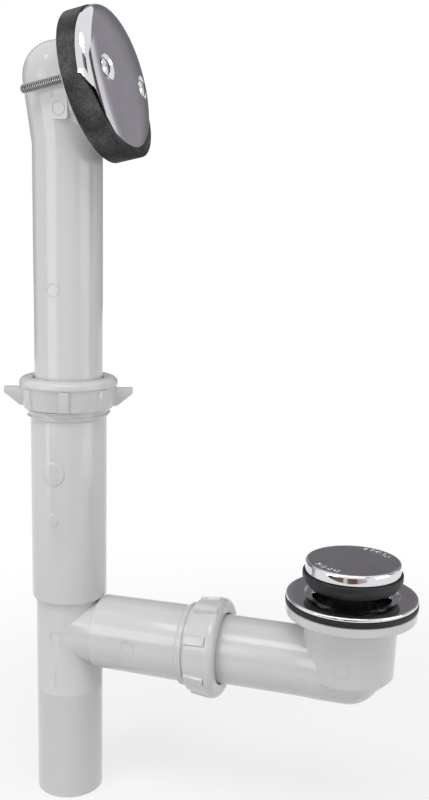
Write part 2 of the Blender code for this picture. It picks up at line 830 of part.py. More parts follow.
def screw_holes(radius):
    """Return cutters for both screws through the whole head."""
    turn = facing(PLATE_LEAN)
    cutters = []
    for index, point in enumerate(screw_places()):
        tool = turned(f"screw_hole_{index}", [
            (0.0, -SCREW_TAIL), (radius, -SCREW_TAIL),
            (radius, PLATE_DEPTH + CUT), (0.0, PLATE_DEPTH + CUT)],
            SMALL_STEPS)
        cutters.append(place(tool, point, turn))
    return cutters


def overflow_elbow(mat, parent):
    """Model the slip tube, elbow and flange as one moulding."""
    origin = (TEE_X, 0.0, ARM_Z)
    shell = place(lofted("overflow_elbow", neck_rings(0.0, SLEEVE_END_RISE)),
                  origin)
    way = place(lofted("way", neck_rings(TUBE_WALL,
                                         SLEEVE_END_RISE - CUT)), origin)
    turn = facing(FLANGE_LEAN)
    back = head_centre() - lean_axis(FLANGE_LEAN) * WINDOW_REACH
    outer = prism("window", slot_outline(WINDOW_R, WINDOW_TOP,
                                         WINDOW_BOTTOM),
                  WINDOW_REACH - HEAD_FLANGE / 2)
    inner = prism("window_way", slot_outline(WINDOW_R - TUBE_WALL,
                                             WINDOW_TOP, WINDOW_BOTTOM),
                  WINDOW_REACH + CUT)
    flange = turned("head_flange", [
        (0.0, -HEAD_FLANGE), (HEAD_FLANGE_R, -HEAD_FLANGE),
        (HEAD_FLANGE_R, 0.0), (0.0, 0.0)], RIM_STEPS)
    place(outer, back, turn)
    place(inner, back, turn)
    place(flange, head_centre(), turn)
    combine(shell, "UNION", outer, flange)
    combine(shell, "DIFFERENCE", way, inner, *screw_holes(SCREW_R + GAP))
    return dress(shell, mat, parent)


def bulge(depth):
    """Return how far the foam stands forward at a depth below centre."""
    share = min(max(depth / GASKET_R, 0.0), 1.0)
    return GASKET_BULGE * share ** BULGE_POWER


def gasket_side():
    """Return the wedge's side view: local X is down, Z is forward."""
    wedge = math.tan(FLANGE_LEAN - PLATE_LEAN)
    reach = GASKET_R + CUT
    rear = -GASKET_FORWARD + GAP
    outline = [(reach, rear + wedge * reach), (-reach, rear - wedge * reach),
               (-reach, -GAP), (0.0, -GAP)]
    for index in range(1, BULGE_STEPS + 1):
        depth = GASKET_R * index / BULGE_STEPS
        outline.append((depth, bulge(depth) - GAP))
    outline.append((reach, bulge(reach) - GAP))
    return outline


def overflow_gasket(mat, parent):
    """Model the foam wedge with its waterway and screw holes."""
    turn = facing(PLATE_LEAN)
    wedge = side_slab("overflow_gasket", gasket_side(), GASKET_R + CUT)
    span = GASKET_FORWARD + PLATE_DEPTH
    disc = turned("disc", [(0.0, -2 * span), (GASKET_R, -2 * span),
                           (GASKET_R, span), (0.0, span)], RIM_STEPS)
    combine(wedge, "INTERSECT", place(disc, plate_centre(), turn))
    hole = prism("gasket_way", slot_outline(WINDOW_R - TUBE_WALL, WINDOW_TOP,
                                            WINDOW_BOTTOM), 3 * span)
    place(hole, head_centre() - lean_axis(FLANGE_LEAN) * span,
          facing(FLANGE_LEAN))
    combine(wedge, "DIFFERENCE", hole, plate_pocket(),
            *screw_holes(SCREW_R + GAP))
    return dress(wedge, mat, parent)


def dish_height(radius):
    """Return the height of the plate's dome at a radius."""
    share = 1.0 - (radius / PLATE_R) ** PLATE_CROWN_POWER
    return (PLATE_SKIRT
            + (PLATE_DEPTH - PLATE_SKIRT) * share ** PLATE_EDGE_POWER)


def dish_profile(inset):
    """Return the plate's outer dome, or its inner one with an inset."""
    radius = PLATE_R - inset
    rise = PLATE_DEPTH - inset - PLATE_SKIRT
    low = -CUT if inset > 0.0 else 0.0
    profile = [(0.0, low), (radius, low)]
    for index in range(DISH_STEPS + 1):
        share = index / DISH_STEPS
        run = 1.0 - share ** (1.0 / PLATE_EDGE_POWER)
        profile.append((radius * run ** (1.0 / PLATE_CROWN_POWER),
                        PLATE_SKIRT + rise * share))
    return profile


def dimple_floor():
    """Return the height of the dimples' floor over the rear plane."""
    return dish_height(SCREW_SPREAD) - DIMPLE_DEPTH


def lip_height(depth):
    """Return the height of the plate's shortened rim at a depth."""
    return PLATE_DEPTH - NOTCH_LIP + math.tan(NOTCH_SLOPE) * depth


def side_slab(name, outline, half):
    """Extrude an outline of (down, forward) points to both sides."""
    near = [(x, -half, z) for x, z in outline]
    far = [(x, half, z) for x, z in outline]
    return place(lofted(name, [near, far]), plate_centre(),
                 facing(PLATE_LEAN))


def plate_pocket():
    """Return the cutter that clears the foam around the shortened rim."""
    reach = GASKET_R + CUT
    top = PLATE_DEPTH + CUT
    above = side_slab("above", [(NOTCH_RAMP, lip_height(NOTCH_RAMP) - GAP),
                                (reach, lip_height(reach) - GAP),
                                (reach, top), (NOTCH_RAMP, top)], reach)
    dome = place(turned("pocket", dish_profile(-GAP), RIM_STEPS),
                 plate_centre(), facing(PLATE_LEAN))
    return combine(dome, "INTERSECT", above)


def dimples(inset):
    """Return cutters for the screw dimples, grown by the wall inside."""
    turn = facing(PLATE_LEAN)
    tools = []
    for index, point in enumerate(screw_places()):
        tool = turned(f"dimple_{index}", [
            (0.0, dimple_floor() - inset),
            (DIMPLE_FLOOR_R + inset / 2, dimple_floor() - inset),
            (DIMPLE_R + inset / 2, PLATE_DEPTH + inset / 2),
            (0.0, PLATE_DEPTH + inset / 2)], SMALL_STEPS)
        tools.append(place(tool, point, turn))
    return tools


def notch_cutter():
    """Return the cutter that shortens the rim around its lower half."""
    reach = PLATE_R + CUT
    return side_slab("notch", [(NOTCH_EDGE, -CUT), (reach, -CUT),
                               (reach, lip_height(reach)),
                               (NOTCH_RAMP, lip_height(NOTCH_RAMP)),
                               (NOTCH_EDGE, NOTCH_START)], reach)


def overflow_plate(mat, parent):
    """Model the dished plate with notch, dimples and screw holes."""
    turn = facing(PLATE_LEAN)
    plate = place(turned("overflow_plate", dish_profile(0.0), RIM_STEPS),
                  plate_centre(), turn)
    hollow = place(turned("hollow", dish_profile(PLATE_WALL), RIM_STEPS),
                   plate_centre(), turn)
    combine(plate, "DIFFERENCE", *dimples(0.0), solver="MANIFOLD")
    combine(hollow, "DIFFERENCE", *dimples(PLATE_WALL), solver="MANIFOLD")
    combine(plate, "DIFFERENCE", hollow, notch_cutter(),
            *screw_holes(SCREW_R + GAP), solver="MANIFOLD")
    return dress(plate, mat, parent)


def plate_screw(name, point, mat, parent):
    """Model a long oval-head screw with a driver slot."""
    seat = dimple_floor() + GAP
    crown = seat + SCREW_HEAD
    profile = [(0.0, -SCREW_TAIL), (SCREW_R, -SCREW_TAIL), (SCREW_R, seat),
               (SCREW_HEAD_R, seat), (SCREW_HEAD_R, seat + SCREW_HEAD / 3),
               (SCREW_HEAD_R / 2, crown), (0.0, crown + SCREW_HEAD / 6)]
    screw = turned(name, profile, SMALL_STEPS // 2)
    half = SCREW_SLOT / 2
    reach = SCREW_HEAD_R + CUT
    slot = prism("slot", [(-reach, -half), (reach, -half), (reach, half),
                          (-reach, half)], SCREW_HEAD)
    place(slot, (0.0, 0.0, crown - SCREW_SLOT_DEPTH))
    combine(screw, "DIFFERENCE", slot)
    place(screw, point, facing(PLATE_LEAN))
    return dress(screw, mat, parent)


def main():
    """Build every piece of the set."""
    for obj in list(bpy.data.objects):
        bpy.data.objects.remove(obj)
    white = material("white_plastic", (0.62, 0.62, 0.60), 0.36)
    washer = material("washer_plastic", (0.72, 0.72, 0.70), 0.45)
    chrome = material("chrome", (0.62, 0.61, 0.64), 0.12, 1.0)
    rubber = material("black_rubber", (0.018, 0.018, 0.020), 0.55)
    foam = material("black_foam", (0.030, 0.032, 0.034), 0.90)
    steel = material("steel", (0.58, 0.57, 0.55), 0.28, 1.0)
    black = material("black_plastic", (0.015, 0.015, 0.016), 0.40)
    brass = material("brass", (0.55, 0.42, 0.22), 0.35, 1.0)

    tee_body(white)
    slip_joints(white, washer)

    overflow = pivot("overflow_slide", (TEE_X, 0.0, ARM_Z))
    overflow_elbow(white, overflow)
    overflow_gasket(foam, overflow)
    overflow_plate(chrome, overflow)
    names = ("plate_screw_near", "plate_screw_far")
    for name, point in zip(names, screw_places()):
        plate_screw(name, point, steel, overflow)

    bath_shoe(white)
    shoe_gasket(rubber)
    drain_flange(chrome)
    stopper_post(brass)
    post_nut(brass)
    stopper_spring(steel)

    lift = pivot("stopper_lift", (0.0, 0.0, 0.0))
    stopper_cap(chrome, lift)
    stopper_seal(rubber, lift)
    seal_washer(steel, lift)
    stopper_sleeve(black, lift)
    latch_pin(steel, lift)


main()
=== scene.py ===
"""Looks of a bath waste and overflow set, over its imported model.

The origin is the centre of the bath outlet, +Z is up and the overflow stands
at -X. Sizes are in metres.
"""
import logging
import math
from collections.abc import Sequence
from dataclasses import dataclass, field
from enum import Enum

import bmesh
import bpy
from mathutils import Matrix, Vector


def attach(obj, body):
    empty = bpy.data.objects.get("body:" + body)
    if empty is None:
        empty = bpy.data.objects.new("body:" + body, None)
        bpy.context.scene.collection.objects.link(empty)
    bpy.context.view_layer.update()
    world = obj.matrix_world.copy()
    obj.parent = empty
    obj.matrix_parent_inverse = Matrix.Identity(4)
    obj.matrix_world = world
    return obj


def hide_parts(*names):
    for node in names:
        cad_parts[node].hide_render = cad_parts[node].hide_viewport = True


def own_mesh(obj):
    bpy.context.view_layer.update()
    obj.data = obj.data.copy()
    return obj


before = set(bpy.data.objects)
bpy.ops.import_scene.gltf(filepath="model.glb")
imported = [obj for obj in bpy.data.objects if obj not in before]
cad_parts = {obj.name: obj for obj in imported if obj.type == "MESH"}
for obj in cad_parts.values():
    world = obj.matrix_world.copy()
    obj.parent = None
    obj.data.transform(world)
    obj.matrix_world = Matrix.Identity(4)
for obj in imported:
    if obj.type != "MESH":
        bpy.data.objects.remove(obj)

LOG = logging.getLogger("bath_waste")

Colour = tuple[float, float, float]
Point = tuple[float, ...]
Outline = list[Point]
Piece = bpy.types.Object
Socket = bpy.types.NodeSocket

# Segments around a turned form.
FINE = 96
MEDIUM = 48
COARSE = 24
# Edges sharper than this show as edges.
SHARP = math.radians(34)
# How far a cutter stands past what it cuts.
CUT = 0.002
# Radii of small rounded corners.
CRISP = 0.0003
FIRM = 0.0004
EASED = 0.0005
FULL = 0.0007
SOFT = 0.0008
# Points nearer than this are one.
WELD = 1e-7
# Between these two lie most of a noise's values.
NOISE_LOW = 0.3
NOISE_HIGH = 0.7
# Turn that lays a form along +X.
LEVEL_TURN = (0.0, math.pi / 2, 0.0)


class Join(Enum):
    """How two solids are joined."""

    ADD = "UNION"
    CUT = "DIFFERENCE"
    SHARE = "INTERSECT"


class Facing(Enum):
    """Which way a tube runs under a surface mark."""

    UPRIGHT = "upright"
    LEVEL = "level"


@dataclass(frozen=True)
class Pipework:
    """Sizes that the whole set shares."""

    tube_r: float = 0.01905
    wall: float = 0.0020
    gap: float = 0.0003
    arm_z: float = -0.0397
    tee_x: float = -0.165
    tail: float = 0.0992
    mouth_rise: float = 0.1408
    mouth_reach: float = 0.0878
    socket_wall: float = 0.0020
    thread_stand: float = 0.00185

    @property
    def bore_r(self) -> float:
        """Return the tube's bore radius."""
        return self.tube_r - self.wall

    @property
    def socket_bore(self) -> float:
        """Return the slip socket's bore radius."""
        return self.tube_r + self.gap

    @property
    def socket_r(self) -> float:
        """Return the slip socket's outer radius."""
        return self.socket_bore + self.socket_wall

    @property
    def thread_r(self) -> float:
        """Return the radius over the thread."""
        return self.socket_r + self.thread_stand


PIPE = Pipework()


@dataclass(frozen=True)
class Thread:
    """A screw thread on a turned form, from low to high.

    Attributes:
        root: Radius between the crests.
        crest: Radius over the crests.
        pitch: Rise of one turn.
        floor: Share of the crest that stays between the crests.
        flank: How steeply the crests rise.
        valley: How wide the room between them is.
    """

    low: float
    high: float
    root: float
    crest: float
    pitch: float
    floor: float = 0.0
    flank: float = 1.7
    valley: float = 0.35

    def heights(self, rows: int = 8) -> list[float]:
        """Return the heights that the thread's rows need.

        Args:
            rows: Rows to each turn.

        Returns:
            Heights from low to high.
        """
        span = self.high - self.low
        count = max(2, round(span / self.pitch * rows))
        return [self.low + span * index / count for index in range(count + 1)]

    def shapes(self, radius: float, height: float) -> bool:
        """Return whether a point of an outline is on the thread's root."""
        near = abs(radius - self.root) < WELD
        return near and self.low <= height <= self.high

    def radius(self, height: float, turn: float) -> float:
        """Return the thread's radius at a point.

        Args:
            height: Height of the point.
            turn: Angle about the axis, as a share of a full turn.

        Returns:
            The radius there, eased to the crest's run-out at both ends.
        """
        phase = (height / self.pitch - turn) % 1.0
        wave = abs(2.0 * phase - 1.0)
        lift = min(1.0, max(self.floor, wave * self.flank - self.valley))
        fade = min(height - self.low, self.high - height) / (self.pitch / 2)
        return self.root + (self.crest - self.root) * lift * min(1.0, fade)


class Forms:
    """Mesh makers that the sub-assemblies share.

    Attributes:
        ROUND_REACH: Longest share of an edge that one round takes up.
        FLAT: Faces this near to one plane are merged before rounding.
        ROUND_ANGLE: Edges sharper than this are rounded.
        ROUND_STEPS: Faces across a rounded edge.
    """

    ROUND_REACH = 0.48
    FLAT = math.radians(0.05)
    ROUND_ANGLE = math.radians(38)
    ROUND_STEPS = 3

    @staticmethod
    def piece(name: str, data: bmesh.types.BMesh) -> Piece:
        """Link an object that holds a finished mesh.

        Args:
            name: Name of the new object.
            data: The mesh, which is freed.

        Returns:
            The new object.
        """
        bmesh.ops.remove_doubles(data, verts=data.verts, dist=WELD)
        bmesh.ops.recalc_face_normals(data, faces=data.faces)
        mesh = bpy.data.meshes.new(name)
        data.to_mesh(mesh)
        data.free()
        return Forms.link(name, mesh)

    @staticmethod
    def link(name: str, data: bpy.types.ID) -> Piece:
        """Link a new object.

        Args:
            name: Name of the new object.
            data: What it holds.

        Returns:
            The new object.
        """
        obj = bpy.data.objects.new(name, data)
        bpy.context.collection.objects.link(obj)
        return obj

    @staticmethod
    def aim(obj: Piece, at: Point, target: Vector, axis: str) -> None:
        """Stand an object at a point, with one axis at a target."""
        turn = (target - Vector(at)).to_track_quat(axis, "Y").to_matrix()
        obj.matrix_world = Matrix.Translation(at) @ turn.to_4x4()

    @staticmethod
    def sheet(name: str, wide: float, high: float, level: float) -> Piece:
        """Make a flat sheet of one face.

        Args:
            name: Name of the new object.
            wide: Half of its width.
            high: Half of its length.
            level: Its height.

        Returns:
            The new object.
        """
        mesh = bpy.data.meshes.new(name)
        mesh.from_pydata([(-wide, -high, level), (wide, -high, level),
                          (wide, high, level), (-wide, high, level)], [],
                         [(0, 1, 2, 3)])
        return Forms.link(name, mesh)

    @staticmethod
    def eased(outline: Outline, steps: int = 4) -> Outline:
        """Round the corners of an outline.

        Args:
            outline: Points of (a, b) or (a, b, radius).
            steps: Segments to each rounded corner.

        Returns:
            Plain points, with an arc at each point that gives a radius.
        """
        result: Outline = []
        last = len(outline) - 1
        for index, point in enumerate(outline):
            if len(point) < 3 or index in (0, last):
                result.append(point[:2])
                continue
            here = Vector(point[:2])
            before = Vector(outline[index - 1][:2]) - here
            after = Vector(outline[index + 1][:2]) - here
            half = before.angle(after) / 2
            reach = min(point[2] / math.tan(half),
                        before.length * Forms.ROUND_REACH,
                        after.length * Forms.ROUND_REACH)
            start = here + before.normalized() * reach
            end = here + after.normalized() * reach
            for step in range(steps + 1):
                share = step / steps
                a = start.lerp(here, share)
                b = here.lerp(end, share)
                result.append(tuple(a.lerp(b, share)))
        return result

    @staticmethod
    def turned(name: str, outline: Outline, steps: int = FINE,
               thread: Thread | None = None) -> Piece:
        """Turn an outline of (radius, height) about Z.

        Args:
            name: Name of the new object.
            outline: Points of (radius, height) or (radius, height, round).
            steps: Segments around the axis.
            thread: Thread that shapes the rows between its ends.

        Returns:
            A solid if the outline ends on the axis, or else a ring.
        """
        points = Forms.eased(outline)
        data = bmesh.new()
        rows = []
        for radius, height in points:
            if radius < WELD:
                rows.append([data.verts.new((0.0, 0.0, height))])
                continue
            row = []
            for index in range(steps):
                turn = index / steps
                at = radius
                if thread and thread.shapes(radius, height):
                    at = thread.radius(height, turn)
                angle = math.tau * turn
                row.append(data.verts.new((at * math.cos(angle),
                                           at * math.sin(angle), height)))
            rows.append(row)
        pairs = list(zip(rows, rows[1:]))
        if len(rows[0]) > 1 and len(rows[-1]) > 1:
            pairs.append((rows[-1], rows[0]))
        for low, high in pairs:
            Forms._skin(data, low, high)
        return Forms.piece(name, data)

    @staticmethod
    def _skin(data: bmesh.types.BMesh, low: list, high: list) -> None:
        """Fill the band between two rows of vertices.

        Args:
            data: The mesh.
            low: First row, or one vertex on the axis.
            high: Second row, or one vertex on the axis.
        """
        count = max(len(low), len(high))
        for index in range(count):
            after = (index + 1) % count
            corners = []
            for vert in (low[index % len(low)], low[after % len(low)],
                         high[after % len(high)], high[index % len(high)]):
                if vert not in corners:
                    corners.append(vert)
            if len(corners) > 2:
                data.faces.new(corners)

    @staticmethod
    def lofted(name: str, rings: Sequence[Sequence[Sequence[float]]],
               closed: bool = False) -> Piece:
        """Skin a row of point rings.

        Args:
            name: Name of the new object.
            rings: Rings of equal length.
            closed: Whether the last ring joins the first, with no end caps.

        Returns:
            The new object.
        """
        data = bmesh.new()
        loops = [[data.verts.new(point) for point in ring] for ring in rings]
        pairs = list(zip(loops, loops[1:]))
        if closed:
            pairs.append((loops[-1], loops[0]))
        for low, high in pairs:
            Forms._skin(data, low, high)
        if not closed:
            data.faces.new(reversed(loops[0]))
            data.faces.new(loops[-1])
        return Forms.piece(name, data)

    @staticmethod
    def prism(name: str, outline: Outline, length: float) -> Piece:
        """Extrude a flat XY outline from z = 0.

        Args:
            name: Name of the new object.
            outline: Points of (x, y).
            length: Height of the prism.

        Returns:
            The new object.
        """
        low = [(x, y, 0.0) for x, y in outline]
        high = [(x, y, length) for x, y in outline]
        return Forms.lofted(name, [low, high])

    @staticmethod
    def slab(name: str, outline: Outline, half: float) -> Piece:
        """Extrude an XZ outline to both sides of Y.

        Args:
            name: Name of the new object.
            outline: Points of (x, z).
            half: Half of the slab's thickness.

        Returns:
            The new object.
        """
        near = [(x, -half, z) for x, z in outline]
        far = [(x, half, z) for x, z in outline]
        return Forms.lofted(name, [near, far])

    @staticmethod
    def place(obj: Piece, location: Sequence[float],
              rotation: Sequence[float] = (0.0, 0.0, 0.0)) -> Piece:
        """Move a piece and bake its place into its mesh.

        Args:
            obj: The piece.
            location: Where its origin goes.
            rotation: Its XYZ turn.

        Returns:
            The same piece.
        """
        turn = Matrix.Identity(4)
        for axis, angle in zip("XYZ", rotation):
            turn = Matrix.Rotation(angle, 4, axis) @ turn
        obj.data.transform(Matrix.Translation(location) @ turn)
        return obj

    @staticmethod
    def combine(target: Piece, how: Join, *tools: Piece) -> Piece:
        """Join, cut or share a solid with others, and drop those.

        Args:
            target: The solid to change.
            how: Kind of join.
            tools: The other solids.

        Returns:
            The changed solid.
        """
        for tool in tools:
            step = target.modifiers.new(tool.name, "BOOLEAN")
            step.operation = how.value
            step.solver = "EXACT"
            step.object = tool
        Forms.bake(target)
        for tool in tools:
            bpy.data.objects.remove(tool)
        return target

    @staticmethod
    def bake(obj: Piece) -> Piece:
        """Write a piece's modifiers into its mesh.

        Args:
            obj: The piece.

        Returns:
            The same piece, with no modifiers.
        """
        bpy.context.view_layer.update()
        graph = bpy.context.evaluated_depsgraph_get()
        mesh = bpy.data.meshes.new_from_object(obj.evaluated_get(graph))
        obj.modifiers.clear()
        mesh.name = obj.name
        obj.data = mesh
        return obj

    @staticmethod
    def bake_text(obj: Piece) -> Piece:
        """Turn a text object into a closed mesh piece.

        Args:
            obj: The text, which is dropped.

        Returns:
            The new piece.
        """
        bpy.context.view_layer.update()
        graph = bpy.context.evaluated_depsgraph_get()
        mesh = bpy.data.meshes.new_from_object(obj.evaluated_get(graph))
        bpy.data.objects.remove(obj)
        data = bmesh.new()
        data.from_mesh(mesh)
        bpy.data.meshes.remove(mesh)
        return Forms.piece("letter_cut", data)

    @staticmethod
    def soften(obj: Piece, width: float) -> Piece:
        """Round a piece's sharp edges.

        Args:
            obj: The piece.
            width: Width of the rounding.

        Returns:
            The same piece.
        """
        data = bmesh.new()
        data.from_mesh(obj.data)
        bmesh.ops.dissolve_limit(data, angle_limit=Forms.FLAT,
                                 verts=data.verts, edges=data.edges)
        data.to_mesh(obj.data)
        data.free()
        step = obj.modifiers.new("soften", "BEVEL")
        step.width = width
        step.segments = Forms.ROUND_STEPS
        step.limit_method = "ANGLE"
        step.angle_limit = Forms.ROUND_ANGLE
        step.use_clamp_overlap = True
        step.miter_outer = "MITER_ARC"
        return Forms.bake(obj)

    @staticmethod
    def gather(target: Piece, extras: Sequence[Piece]) -> Piece:
        """Move other pieces' faces into one piece.

        Args:
            target: The piece that keeps them.
            extras: The pieces to take in.

        Returns:
            The grown piece.
        """
        data = bmesh.new()
        data.from_mesh(target.data)
        for extra in extras:
            data.from_mesh(extra.data)
            bpy.data.objects.remove(extra)
        data.to_mesh(target.data)
        data.free()
        return target

    @staticmethod
    def facing(lean: float) -> Point:
        """Return the turn that points local Z along +X, leaned up."""
        return (0.0, math.pi / 2 - lean, 0.0)

    @staticmethod
    def lean_axis(lean: float) -> Vector:
        """Return the direction that a leaned face looks along."""
        return Vector((math.cos(lean), 0.0, math.sin(lean)))


@dataclass(frozen=True)
class TubeMark:
    """A place for moulded marks on a tube's front.

    Attributes:
        axis_x: X of an upright tube's axis.
        axis_z: Z of a level tube's axis.
        radius: The tube's radius.
        runs: Which way the tube runs.
        LINE: A line's profile, in shares of its width and height.
        DISC: A disc's profile, in shares of its radius and height.
        LINE_SINK: Depth of a line's foot in the wall.
        DISC_SINK: Depth of a disc's foot in the wall.
    """

    axis_x: float
    axis_z: float
    radius: float
    runs: Facing
    LINE = ((-0.5, 0.0), (-0.32, 0.7), (0.0, 1.0), (0.32, 0.7), (0.5, 0.0))
    DISC = ((0.30, 1.0), (0.60, 1.0), (0.90, 1.0), (0.97, 0.8), (1.0, 0.0))
    LINE_SINK = 0.00012
    DISC_SINK = 0.0003

    def point(self, along: float, across: float, stand: float) -> Vector:
        """Return a point over the tube's front.

        Args:
            along: World coordinate along the tube.
            across: Offset across the tube.
            stand: Height over the tube's wall.

        Returns:
            The point in world coordinates.
        """
        radius = self.radius + stand
        depth = -math.sqrt(max(0.0, radius * radius - across * across))
        if self.runs is Facing.UPRIGHT:
            return Vector((self.axis_x + across, depth, along))
        return Vector((along, depth, self.axis_z + across))

    def line(self, name: str, path: Sequence[Point], width: float,
             stand: float, closed: bool = False) -> Piece:
        """Make a raised line on the tube.

        Args:
            name: Name of the new object.
            path: Points of (along, across).
            width: Width of the line at its foot.
            stand: Height of the line.
            closed: Whether the line ends where it starts.

        Returns:
            The new object.
        """
        shape = [(share, rise * stand if rise else -self.LINE_SINK)
                 for share, rise in self.LINE]
        rings = []
        count = len(path)
        for index, (along, across) in enumerate(path):
            ahead = path[(index + 1) % count if closed
                         else min(index + 1, count - 1)]
            behind = path[index - 1 if closed else max(index - 1, 0)]
            run = Vector(ahead) - Vector(behind)
            side = Vector((-run.y, run.x)).normalized() * width
            rings.append([self.point(along + side.x * offset,
                                     across + side.y * offset, lift)
                          for offset, lift in shape])
        return Forms.lofted(name, rings, closed)

    def ring(self, name: str, along: float, radius: float,
             stand: float = 0.00022, width: float = 0.00052) -> Piece:
        """Make a raised circle, as an ejector pin leaves.

        Args:
            name: Name of the new object.
            along: Where its centre is along the tube.
            radius: Radius of the circle.
            stand: Height of the line.
            width: Width of the line.

        Returns:
            The new object.
        """
        path = []
        for index in range(MEDIUM):
            angle = math.tau * index / MEDIUM
            path.append((along + radius * math.sin(angle),
                         radius * math.cos(angle)))
        return self.line(name, path, width, stand, closed=True)

    def disc(self, name: str, along: float, radius: float,
             stand: float) -> Piece:
        """Make a raised flat disc on the tube.

        Args:
            name: Name of the new object.
            along: Where its centre is along the tube.
            radius: Radius of the disc.
            stand: Height of its face over the wall.

        Returns:
            The new object.
        """
        data = bmesh.new()
        rows = [[data.verts.new(self.point(along, 0.0, stand))]]
        for share, rise in self.DISC:
            lift = rise * stand if rise else -self.DISC_SINK
            row = []
            for index in range(MEDIUM):
                angle = math.tau * index / MEDIUM
                reach = radius * share
                row.append(data.verts.new(self.point(
                    along + reach * math.sin(angle),
                    reach * math.cos(angle), lift)))
            rows.append(row)
        for low, high in zip(rows, rows[1:]):
            Forms._skin(data, low, high)
        data.faces.new(rows[-1])
        return Forms.piece(name, data)


class Slot(Enum):
    """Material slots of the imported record."""

    WHITE = "white_plastic"
    WASHER = "washer_plastic"
    CHROME = "chrome"
    RUBBER = "black_rubber"
    FOAM = "black_foam"
    STEEL = "steel"
    BLACK = "black_plastic"
    BRASS = "brass"


class Body(Enum):
    """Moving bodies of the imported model."""

    WASTE = "waste"
    STOPPER = "stopper"
    TEE = "tee"
    OVERFLOW = "overflow"


class Graph:
    """Short hand for a material's nodes."""

    def __init__(self, name: str) -> None:
        """Start a material.

        Args:
            name: Name of the material.
        """
        self.material = bpy.data.materials.new(name)
        self.material.use_nodes = True
        self.nodes = self.material.node_tree.nodes
        self.links = self.material.node_tree.links
        self.shader = self.nodes["Principled BSDF"]
        self.where = self.nodes.new("ShaderNodeTexCoord").outputs["Object"]

    def noise(self, scale: float, detail: float = 3.0,
              stretch: Point = (1.0, 1.0, 1.0)) -> Socket:
        """Add a noise over the object.

        Args:
            scale: Size of the noise, larger is finer.
            detail: Octaves.
            stretch: Scale along X, Y and Z.

        Returns:
            The noise's value.
        """
        mapping = self.nodes.new("ShaderNodeMapping")
        mapping.inputs["Scale"].default_value = stretch
        texture = self.nodes.new("ShaderNodeTexNoise")
        texture.inputs["Scale"].default_value = scale
        texture.inputs["Detail"].default_value = detail
        self.links.new(self.where, mapping.inputs["Vector"])
        self.links.new(mapping.outputs["Vector"], texture.inputs["Vector"])
        return texture.outputs["Fac"]

    def cells(self, scale: float) -> Socket:
        """Add rounded cells over the object.

        Args:
            scale: Cells to a metre.

        Returns:
            The distance to the nearest cell's centre.
        """
        texture = self.nodes.new("ShaderNodeTexVoronoi")
        texture.inputs["Scale"].default_value = scale
        self.links.new(self.where, texture.inputs["Vector"])
        return texture.outputs["Distance"]

    def blend(self, source: Socket,
              stops: Sequence[tuple[float, Colour]]) -> Socket:
        """Turn a value into a colour.

        Args:
            source: The value.
            stops: Positions and colours of the ramp.

        Returns:
            The colour.
        """
        ramp = self.nodes.new("ShaderNodeValToRGB")
        elements = ramp.color_ramp.elements
        while len(elements) < len(stops):
            elements.new(0.5)
        for element, (position, colour) in zip(elements, stops):
            element.position = position
            element.color = (*colour, 1.0)
        self.links.new(source, ramp.inputs["Fac"])
        return ramp.outputs["Color"]

    def mix(self, first: Socket, second: Socket, share: float) -> Socket:
        """Mix two values.

        Args:
            first: One value.
            second: The other.
            share: Share of the second.

        Returns:
            The mixed value.
        """
        node = self.nodes.new("ShaderNodeMix")
        node.inputs[0].default_value = share
        self.links.new(first, node.inputs[2])
        self.links.new(second, node.inputs[3])
        return node.outputs[0]

    def vector(self, operation: str, first: Socket,
               second: Point = (0.0, 0.0, 0.0)) -> bpy.types.Node:
        """Add a step of vector arithmetic.

        Args:
            operation: Name of the step.
            first: The vector.
            second: What it is joined with.

        Returns:
            The step's node.
        """
        node = self.nodes.new("ShaderNodeVectorMath")
        node.operation = operation
        node.inputs[1].default_value = second
        self.links.new(first, node.inputs[0])
        return node

    def span(self, source: Socket, low: float, high: float,
             start: float = NOISE_LOW, end: float = NOISE_HIGH) -> Socket:
        """Stretch a part of a value's run to a range.

        Args:
            source: The value.
            low: Result at the part's start and before it.
            high: Result at the part's end and after it.
            start: Where the part starts.
            end: Where it ends.

        Returns:
            The new value.
        """
        node = self.nodes.new("ShaderNodeMapRange")
        node.inputs["From Min"].default_value = start
        node.inputs["From Max"].default_value = end
        node.inputs["To Min"].default_value = low
        node.inputs["To Max"].default_value = high
        self.links.new(source, node.inputs["Value"])
        return node.outputs["Result"]

    def bump(self, source: Socket, distance: float, strength: float) -> None:
        """Lay a bump over those already there.

        Args:
            source: The height.
            distance: Height of the bump in metres.
            strength: Share of it that shows.
        """
        node = self.nodes.new("ShaderNodeBump")
        node.inputs["Distance"].default_value = distance
        node.inputs["Strength"].default_value = strength
        target = self.shader.inputs["Normal"]
        if target.links:
            self.links.new(target.links[0].from_socket, node.inputs["Normal"])
        self.links.new(source, node.inputs["Height"])
        self.links.new(node.outputs["Normal"], target)

    def show(self, shader: bpy.types.Node) -> None:
        """Use another shader than the material's own."""
        self.links.new(shader.outputs[0],
                       self.nodes["Material Output"].inputs["Surface"])
        self.nodes.remove(self.shader)

    def set(self, name: str, value: float | Point) -> None:
        """Set one of the shader's own sockets."""
        self.shader.inputs[name].default_value = value

    def drive(self, name: str, source: Socket) -> None:
        """Link a value to one of the shader's sockets."""
        self.links.new(source, self.shader.inputs[name])


